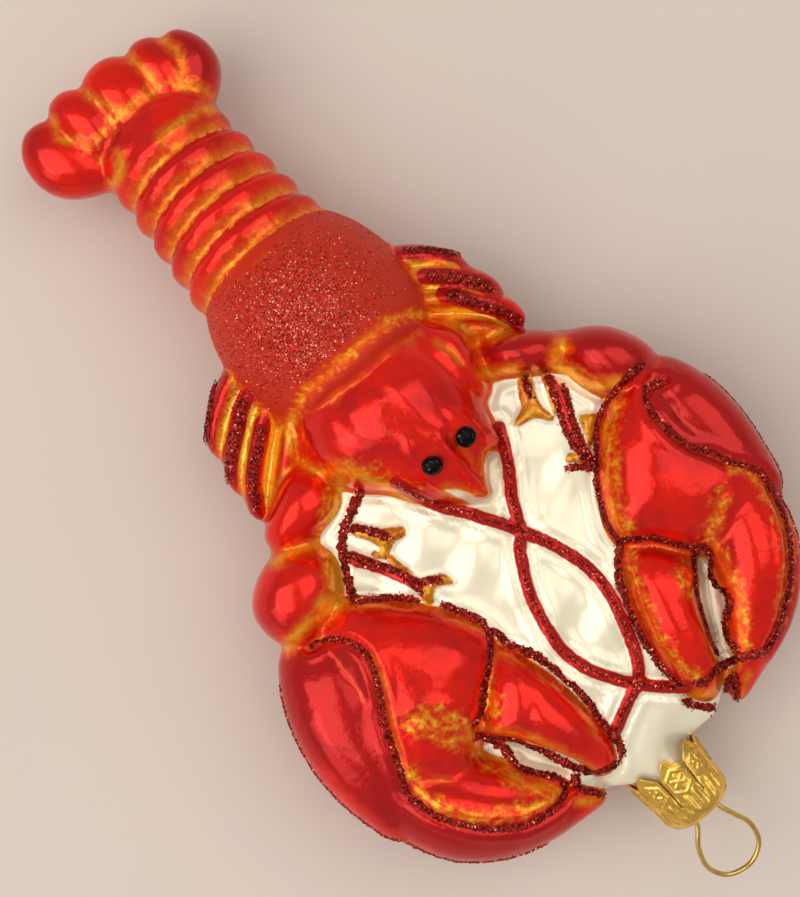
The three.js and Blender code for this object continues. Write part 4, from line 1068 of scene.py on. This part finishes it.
def prong_grid(turn, settings):
    """One eighth of the cap: from its closed end to the pointed tip of one prong."""
    v, u = np.meshgrid(np.linspace(0, 1, PRONG["rows"]), np.linspace(-1, 1, PRONG["columns"]),
                       indexing="ij")
    length = CAP["tips"] - CAP["end"]
    from_flat = np.maximum(0, (np.abs(u) - PRONG["flat"]) / (1 - PRONG["flat"]))
    tip = length - PRONG["shoulder"] * from_flat ** 0.9
    run = 0.02 + (CAP["radius"] + tip - 0.02) * v
    in_end = np.minimum(run, CAP["radius"])
    bend = np.clip((in_end - CAP["radius"]) / CAP["round"] + 1, 0, 1) * math.pi / 2
    radius = np.where(bend > 0, CAP["radius"] - CAP["round"] * (1 - np.sin(bend)), in_end)
    along = CAP["round"] * (1 - np.cos(bend)) + np.maximum(0, run - CAP["radius"])
    along = np.minimum(along, tip)
    radius += CAP["flare"] * np.maximum(0, along / length) ** 1.6
    eighth = math.pi / CAP["prongs"]
    up_slot = (along - PRONG["slot_root"]) / (length - PRONG["slot_root"])
    slot = np.where(up_slot < 0, 0, PRONG["slot"] * (0.35 + 0.65 * up_slot))
    angle = turn + u * (eighth - slot / np.maximum(radius, 1) / 2)
    flutes = FLUTES["rise"] * np.cos(u * 3 * math.pi)
    flutes *= ramp(along, *FLUTES["start"]) * (1 - ramp(along, *FLUTES["end"]))
    flutes += np.where(along > 1, FLUTES["edge"] * np.abs(u) ** 3, 0)
    stamping = stamped(u * radius * eighth, along - STAMP["middle"])
    radius += settings.emboss / MM * stamping - flutes * FLUTES["depth"]
    places = np.stack([AXIS_X + radius * np.sin(angle), CAP["end"] + along,
                       SEAM + radius * np.cos(angle)], -1)
    wide = PRONG["columns"]
    faces = [(i * wide + j, i * wide + j + 1, (i + 1) * wide + j + 1, (i + 1) * wide + j)
             for i in range(PRONG["rows"] - 1) for j in range(wide - 1)]
    return places.reshape(-1, 3), faces


def crown_cap(settings):
    """Eight prongs joined to a cap with two holes in its closed end, as thin as sheet metal."""
    turns = [2 * math.pi * i / CAP["prongs"] for i in range(CAP["prongs"])]
    places, faces = gathered([prong_grid(turn, settings) for turn in turns])
    x, y, z = places[np.array(faces)].mean(axis=1).T
    off_hole = np.hypot(np.abs(x - AXIS_X) - HOLES["aside"], z - SEAM)
    stays = (y > CAP["end"] + HOLES["depth"]) | (off_hole > HOLES["radius"])
    cap = new_mesh("crown_cap", places + TO_MIDDLE, np.array(faces)[stays].tolist())
    weld(cap, 0.03)
    apply_modifier(cap, "SOLIDIFY", thickness=CAP["wall"] * MM, offset=-1)
    return cap


def wire_loop(settings):
    line = smooth_line([(AXIS_X + x, y, SEAM + z) for x, y, z in WIRE])
    path = bpy.data.curves.new("wire_loop", "CURVE")
    path.dimensions = "3D"
    path.bevel_depth = settings.thickness / 2
    path.bevel_resolution = 6
    path.use_fill_caps = True
    spline = path.splines.new("POLY")
    spline.points.add(len(line) - 1)
    for point, place in zip(spline.points, (line + TO_MIDDLE) * MM):
        point.co = (*place, 1)
    select_only(add_object("wire_loop", path))
    bpy.ops.object.convert(target="MESH")
    return bpy.context.object


# --- Finishes ----------------------------------------------------------------------------------

CRIMSON = (0.50, 0.010, 0.010, 1)
# the red of the painted shade over the flanks, the right arm and a fan lobe
PAINTED_SHADE_RED = (0.40, 0.008, 0.010, 1)
SATIN_RED = (0.60, 0.034, 0.014, 1)
ORANGE = (0.76, 0.075, 0.008, 1)
YELLOW = (0.93, 0.47, 0.035, 1)
# the beige of the painted shade in the pearl's valleys
PEARL_SHADE = (0.72, 0.60, 0.43, 1)
OCHRE = (0.72, 0.35, 0.018, 1)
BROWN = (0.50, 0.12, 0.008, 1)
BRIGHT_FLAKE = (0.95, 0.36, 0.28, 1)
BLACK = (0.001, 0.001, 0.001, 1)
SPECK = (0.30, 0.29, 0.26, 1)
GRAZING_RED = (1, 0.4, 0.35, 1)  # what the red glass mirrors at a low angle


def darker(colour, share):
    return tuple(channel * share for channel in colour[:3]) + (1,)


class Value:
    """A socket in a Python expression: each operation adds the Math node that works it out."""

    def __init__(self, finish, socket):
        self.finish = finish
        self.socket = socket

    def math(self, operation, *terms):
        return self.finish.node("ShaderNodeMath", {"operation": operation}, dict(enumerate(terms)))

    def __add__(self, other):
        return self.math("ADD", self, other)

    __radd__ = __add__

    def __sub__(self, other):
        return self.math("SUBTRACT", self, other)

    def __rsub__(self, other):
        return self.math("SUBTRACT", other, self)

    def __mul__(self, other):
        return self.math("MULTIPLY", self, other)

    __rmul__ = __mul__

    def __or__(self, other):
        """The larger of the two."""
        return self.math("MAXIMUM", self, other)

    def __and__(self, other):
        """The smaller of the two."""
        return self.math("MINIMUM", self, other)

    def between(self, low, high):
        """0 at low, 1 at high and a smooth step between."""
        return self.finish.node("ShaderNodeMapRange", {"interpolation_type": "SMOOTHSTEP"},
                                {"Value": self, "From Min": low, "From Max": high})


class Finish:
    """A material and the nodes that work it out."""

    def __init__(self, name):
        self.material = bpy.data.materials.new(name)
        self.material.use_nodes = True
        self.nodes = self.material.node_tree.nodes
        self.nodes.clear()

    def node(self, kind, settings=None, sockets=None, out=0):
        """Adds a node of this type with its settings, then its sockets' values or links."""
        node = self.nodes.new(kind)
        for name, value in (settings or {}).items():
            setattr(node, name, value)
        for name, value in (sockets or {}).items():
            if isinstance(value, Value):
                self.material.node_tree.links.new(value.socket, node.inputs[name])
            else:
                node.inputs[name].default_value = value
        return Value(self, node.outputs[out])

    def painted(self, name):
        """One of the piece's own attributes."""
        return self.node("ShaderNodeAttribute", {"attribute_name": name}, out="Fac")

    def noise(self, size, detail=3.0, roughness=0.55):
        """Cloudy noise with features of about this size, in mm."""
        place = self.node("ShaderNodeTexCoord", out="Object")
        sockets = {"Vector": place, "Scale": 1 / (size * MM), "Detail": detail,
                   "Roughness": roughness}
        return self.node("ShaderNodeTexNoise", {}, sockets, "Fac")

    def mix(self, share, a, b):
        """A colour between a and b."""
        return self.node("ShaderNodeMix", {"data_type": "RGBA"}, {0: share, 6: a, 7: b}, out=2)

    def bump(self, height, distance, under=None):
        """The normal over bumps as high as this distance, in mm, on top of another normal."""
        sockets = {"Height": height, "Distance": distance * MM, "Strength": 1.0}
        if under:
            sockets["Normal"] = under
        return self.node("ShaderNodeBump", {}, sockets, out="Normal")

    def done(self, **sockets):
        """The surface itself. Names of sockets are written with _ for a space."""
        named = {name.replace("_", " "): value for name, value in sockets.items()}
        shader = self.node("ShaderNodeBsdfPrincipled", {}, named)
        output = self.nodes.new("ShaderNodeOutputMaterial")
        self.material.node_tree.links.new(shader.socket, output.inputs["Surface"])
        return self.material


def lacquered_glass(colours):
    """Red, amber and pearl lacquer over silvered glass, brushed on by hand, with painted shade."""
    f = Finish("painted_glass")
    edge, fine, cloud = f.noise(1.6, 4), f.noise(0.5, 2), f.noise(9, 2)
    ragged = edge * 1.3 + fine * 0.5 - 0.9
    valley = f.painted("valley")

    # how far inside each colour's zone a place lies, its edge made ragged
    pearl = (f.painted("pearl") + ragged * 0.3).between(-0.18, 0.18)
    groove = (valley + ragged * 0.35 - 0.42) * 2.2
    web = (f.painted("web") * 1.5 + ragged * 0.8) & ((valley + ragged * 0.5 + 0.2) * 3)
    mottle = (f.painted("mottle") & 0.35) + (f.noise(1.3, 4, 0.62) - 0.5) * 6
    skirt = f.painted("pearl") + ragged + 0.8
    amber = (f.painted("amber") + ragged * 1.5) | groove | web | mottle | skirt
    gold = (f.painted("gold") + ragged * 0.3).between(-0.15, 0.15)
    bar = (f.painted("red") + ragged * 0.35).between(-0.12, 0.12)
    satin = (f.painted("matte") + ragged * 0.4).between(-0.3, 0.5)
    # painted shade: the red deepened inside the outlined flanks, right arm and fan lobe
    painted_shade_share = (f.painted("painted_shade") + ragged * 2).between(-1.6, 1.4) * 0.8

    # the coats in the order in which they are brushed on, the deeper red being painted shade
    colour = f.mix((cloud + edge * 0.4).between(0.5, 1.05), tuple(colours.red), CRIMSON)
    colour = f.mix(painted_shade_share, colour, PAINTED_SHADE_RED)
    colour = f.mix(satin, colour, SATIN_RED)
    colour = f.mix(amber.between(-0.75, 0.15), colour, ORANGE)
    colour = f.mix(amber.between(-0.1, 0.85), colour, tuple(colours.amber))
    colour = f.mix(amber.between(0.45, 1.6), colour, YELLOW)
    # painted shade: the pearl turns beige in its valleys, unevenly
    white = f.mix((valley + cloud * 0.3).between(0.25, 1.0), tuple(colours.pearl), PEARL_SHADE)
    colour = f.mix(pearl, colour, white)
    colour = f.mix(gold, colour, f.mix((edge + fine * 0.4).between(0.5, 0.9), OCHRE, BROWN))
    colour = f.mix(bar, colour, CRIMSON)

    glaze = pearl - (gold | bar) * pearl
    streaks = f.bump(edge * (0.5 - glaze * 0.35) + f.noise(5.5, 2), 0.2)
    normal = f.bump(f.noise(0.22, 1, 0.5) * satin, 0.09, streaks)
    return f.done(Base_Color=colour, Metallic=0.45 - glaze * 0.13 - satin * 0.35,
                  Roughness=0.16 + glaze * 0.1 + satin * 0.3 + fine * 0.05, Normal=normal,
                  Coat_Weight=0.22 - satin * 0.22, Coat_Roughness=0.04, Coat_IOR=1.5,
                  Specular_IOR_Level=0.32, Specular_Tint=GRAZING_RED)


def glitter_finish(colour):
    """Dark red glitter: each flake is a little mirror of its own tint."""
    f = Finish("red_glitter")
    tint = f.painted("tint")
    shade = f.mix(tint.between(0.0, 0.75), darker(colour, 0.25), tuple(colour))
    shade = f.mix(tint.between(0.8, 1.0), shade, BRIGHT_FLAKE)
    return f.done(Base_Color=shade, Metallic=0.85, Roughness=0.42 - tint * 0.24,
                  Normal=f.bump(f.noise(0.3, 2), 0.1))


def black_paint():
    """Thick black paint with a few mineral specks in it."""
    f = Finish("black_paint")
    speck = f.noise(0.28, 2).between(0.66, 0.72)
    return f.done(Base_Color=f.mix(speck, BLACK, SPECK), Roughness=0.14 + speck * 0.2,
                  Metallic=speck * 0.6, Specular_IOR_Level=0.12,
                  Normal=f.bump(f.noise(0.5, 2), 0.16))


def gold_finish(name, colour, roughness, brushed):
    """Thin anodised gold: slightly uneven in tone, darker in cloudy patches."""
    f = Finish(name)
    cloud, fine = f.noise(2.2, 3), f.noise(0.35, 2)
    shade = f.mix((cloud + fine * 0.3).between(0.4, 0.95), tuple(colour), darker(colour, 0.62))
    return f.done(Base_Color=shade, Metallic=1.0, Roughness=roughness + cloud * 0.12,
                  Normal=f.bump(fine + cloud, brushed))


def floor_finish(colour):
    """A matt pale sheet, barely clouded."""
    f = Finish("pale_floor")
    shade = f.mix(f.noise(90, 2).between(0.35, 0.7), tuple(colour), darker(colour, 0.98))
    return f.done(Base_Color=shade, Roughness=0.8, Normal=f.bump(f.noise(0.7, 3), 0.03))


# --- Settings ----------------------------------------------------------------------------------


class GlassSettings(bpy.types.PropertyGroup):
    detail: FloatProperty(
        name="Detail", description="Size of the mesh's faces over the glass", default=0.00056,
        unit="LENGTH")
    furrow_depth: FloatProperty(
        name="Furrow depth", description="Depth of the S-shaped furrow on each claw",
        default=0.00055, unit="LENGTH")
    feeler_height: FloatProperty(
        name="Feeler height", description="How far the feelers stand above the ground",
        default=0.0008, unit="LENGTH")
    red: FloatVectorProperty(
        name="Red", description="Lacquer of the body and claws", size=4, subtype="COLOR",
        default=(0.86, 0.015, 0.005, 1))
    amber: FloatVectorProperty(
        name="Amber", description="Lacquer in the grooves", size=4, subtype="COLOR",
        default=(0.84, 0.22, 0.010, 1))
    pearl: FloatVectorProperty(
        name="Pearl", description="Lacquer between the claws", size=4, subtype="COLOR",
        default=(0.93, 0.885, 0.67, 1))


class GlitterSettings(bpy.types.PropertyGroup):
    line_width: FloatProperty(
        name="Line width", description="Width of a glued line", default=0.0012, unit="LENGTH")
    flake_size: FloatProperty(
        name="Flake size", description="Width of one flake", default=0.00036, unit="LENGTH")
    flakes_per_mm: FloatProperty(
        name="Flakes per millimetre", description="How many flakes a millimetre of line holds",
        default=20)
    back_flakes: IntProperty(
        name="Flakes on the back", description="How many fine flakes are dusted over the back",
        default=7500)
    colour: FloatVectorProperty(
        name="Colour", description="Colour of the middling flakes", size=4, subtype="COLOR",
        default=(0.54, 0.034, 0.020, 1))


class CapSettings(bpy.types.PropertyGroup):
    emboss: FloatProperty(
        name="Stamping", description="Height of the star and hexagon stamped in each prong",
        default=0.0002, unit="LENGTH")
    colour: FloatVectorProperty(
        name="Colour", description="Gold of the cap", size=4, subtype="COLOR",
        default=(1.0, 0.62, 0.12, 1))


class WireSettings(bpy.types.PropertyGroup):
    thickness: FloatProperty(
        name="Thickness", description="Thickness of the hanging wire", default=0.0008,
        unit="LENGTH")
    colour: FloatVectorProperty(
        name="Colour", description="Gold of the wire", size=4, subtype="COLOR",
        default=(0.84, 0.57, 0.17, 1))


class StageSettings(bpy.types.PropertyGroup):
    floor: FloatVectorProperty(
        name="Floor", description="Colour of the floor", size=4, subtype="COLOR",
        default=(0.695, 0.612, 0.540, 1))
    light: FloatProperty(
        name="Light", description="Power of the two soft boxes together", default=6.2,
        subtype="POWER", unit="POWER")


# --- Operators ---------------------------------------------------------------------------------

# Soft square lights that face the ornament: name, place, size, share of the power and colour
LIGHTS = [
    ("left_box", (-0.43, 0.22, 0.8), 0.78, 0.64, (1, 0.97, 0.93)),
    ("right_box", (0.42, -0.06, 0.83), 0.74, 0.36, (1, 0.97, 0.93)),
    ("window", (-0.75, 0.0, 0.5), 0.5, 0.15, (1, 0.93, 0.93)),
]
ROOM = dict(Color=(0.9, 0.84, 0.8, 1), Strength=0.5)  # the light that comes from all round
CAMERA = dict(lens=76.67, sensor_width=36, turn=-41)  # in mm and degrees


class ORNAMENT_OT_glass(bpy.types.Operator):
    """Blow the glass lobster in its mould and lacquer it"""
    bl_idname = "ornament.glass"
    bl_label = "Blown glass"

    def execute(self, context):
        settings = context.scene.ornament_glass
        forms, trees = blown_forms()
        figure = join(forms, "lobster_glass")
        apply_modifier(figure, "REMESH", mode="VOXEL", voxel_size=settings.detail)
        apply_modifier(figure, "SMOOTH", factor=0.5, iterations=6)
        carve(figure, trees, settings)
        paint_zones(figure, trees)
        finish_piece(figure, lacquered_glass(settings), "glass_lobster")
        return {"FINISHED"}


class ORNAMENT_OT_glitter(bpy.types.Operator):
    """Glue the lines of dark red glitter and dust the back"""
    bl_idname = "ornament.glitter"
    bl_label = "Glitter"

    def execute(self, context):
        settings = context.scene.ornament_glitter
        tree = tree_of(bpy.data.objects["lobster_glass"])
        dice = np.random.default_rng(7)
        finish = glitter_finish(settings.colour)
        for made in (glitter_lines, back_sparkle):
            finish_piece(made(tree, settings, dice), finish, flat=True)
        return {"FINISHED"}


class ORNAMENT_OT_eyes(bpy.types.Operator):
    """Drop the black eyes onto the head"""
    bl_idname = "ornament.eyes"
    bl_label = "Eyes"

    def execute(self, context):
        beads = eye_beads(tree_of(bpy.data.objects["lobster_glass"]), np.random.default_rng(3))
        finish_piece(beads, black_paint())
        return {"FINISHED"}


class ORNAMENT_OT_cap(bpy.types.Operator):
    """Stamp the gold cap with its eight pointed prongs"""
    bl_idname = "ornament.cap"
    bl_label = "Cap"

    def execute(self, context):
        settings = context.scene.ornament_cap
        finish = gold_finish("stamped_gold", settings.colour, roughness=0.2, brushed=0.03)
        finish_piece(crown_cap(settings), finish, "cap")
        return {"FINISHED"}


class ORNAMENT_OT_wire(bpy.types.Operator):
    """Bend the hanging wire"""
    bl_idname = "ornament.wire"
    bl_label = "Hanging wire"

    def execute(self, context):
        settings = context.scene.ornament_wire
        finish = gold_finish("gold_wire", settings.colour, roughness=0.16, brushed=0.01)
        finish_piece(wire_loop(settings), finish, "hanging_wire")
        return {"FINISHED"}


class ORNAMENT_OT_stage(bpy.types.Operator):
    """Lay the floor and set the lights and the camera"""
    bl_idname = "ornament.stage"
    bl_label = "Stage"

    def execute(self, context):
        settings = context.scene.ornament_stage
        bpy.ops.object.select_all(action="DESELECT")
        bpy.ops.mesh.primitive_plane_add(size=3, location=(0, 0, 0))
        floor = context.object
        floor.name = floor.data.name = "floor"
        floor.data.materials.append(floor_finish(settings.floor))
        for name, place, size, share, colour in LIGHTS:
            lamp = bpy.data.lights.new(name, "AREA")
            lamp.size, lamp.energy, lamp.color = size, settings.light * share, colour
            holder = add_object(name, lamp)
            holder.location = place
            holder.rotation_euler = (-Vector(place)).to_track_quat("-Z", "Y").to_euler()
        world = bpy.data.worlds.new("studio")
        world.use_nodes = True
        for name, value in ROOM.items():
            world.node_tree.nodes["Background"].inputs[name].default_value = value
        context.scene.world = world
        context.scene.view_settings.view_transform = "Standard"
        camera = bpy.data.cameras.new("camera")
        camera.sensor_width, camera.lens = CAMERA["sensor_width"], CAMERA["lens"]
        eye = add_object("camera", camera)
        eye.location = (VIEW + TO_MIDDLE) * MM
        eye.rotation_euler = (0, 0, math.radians(CAMERA["turn"]))
        context.scene.camera = eye
        return {"FINISHED"}


class ORNAMENT_PT_pieces(bpy.types.Panel):
    bl_label = "Glass Lobster Ornament"
    bl_space_type = "VIEW_3D"
    bl_region_type = "UI"
    bl_category = "Ornament"

    def draw(self, context):
        for operator, settings in STEPS:
            self.layout.operator(operator.bl_idname)
            for name in settings.__annotations__ if settings else ():
                self.layout.prop(getattr(context.scene, settings_name(operator)), name)


STEPS = [
    (ORNAMENT_OT_glass, GlassSettings),
    (ORNAMENT_OT_glitter, GlitterSettings),
    (ORNAMENT_OT_eyes, None),
    (ORNAMENT_OT_cap, CapSettings),
    (ORNAMENT_OT_wire, WireSettings),
    (ORNAMENT_OT_stage, StageSettings),
]


def settings_name(operator):
    """Under which name the scene holds an operator's settings."""
    return operator.bl_idname.replace(".", "_")


def register():
    for operator, settings in STEPS:
        if settings:
            bpy.utils.register_class(settings)
            setattr(bpy.types.Scene, settings_name(operator), PointerProperty(type=settings))
        bpy.utils.register_class(operator)
    bpy.utils.register_class(ORNAMENT_PT_pieces)


def unregister():
    bpy.utils.unregister_class(ORNAMENT_PT_pieces)
    for operator, settings in reversed(STEPS):
        bpy.utils.unregister_class(operator)
        if settings:
            delattr(bpy.types.Scene, settings_name(operator))
            bpy.utils.unregister_class(settings)


def corners(box):
    return [[float(value) for value in corner] for corner in box]


def main():
    register()
    bpy.ops.ornament.glass()
    bpy.ops.ornament.glitter()
    bpy.ops.ornament.eyes()
    bpy.ops.ornament.cap()
    bpy.ops.ornament.wire()
    bpy.ops.ornament.stage()


if __name__ == "__main__":
    main()
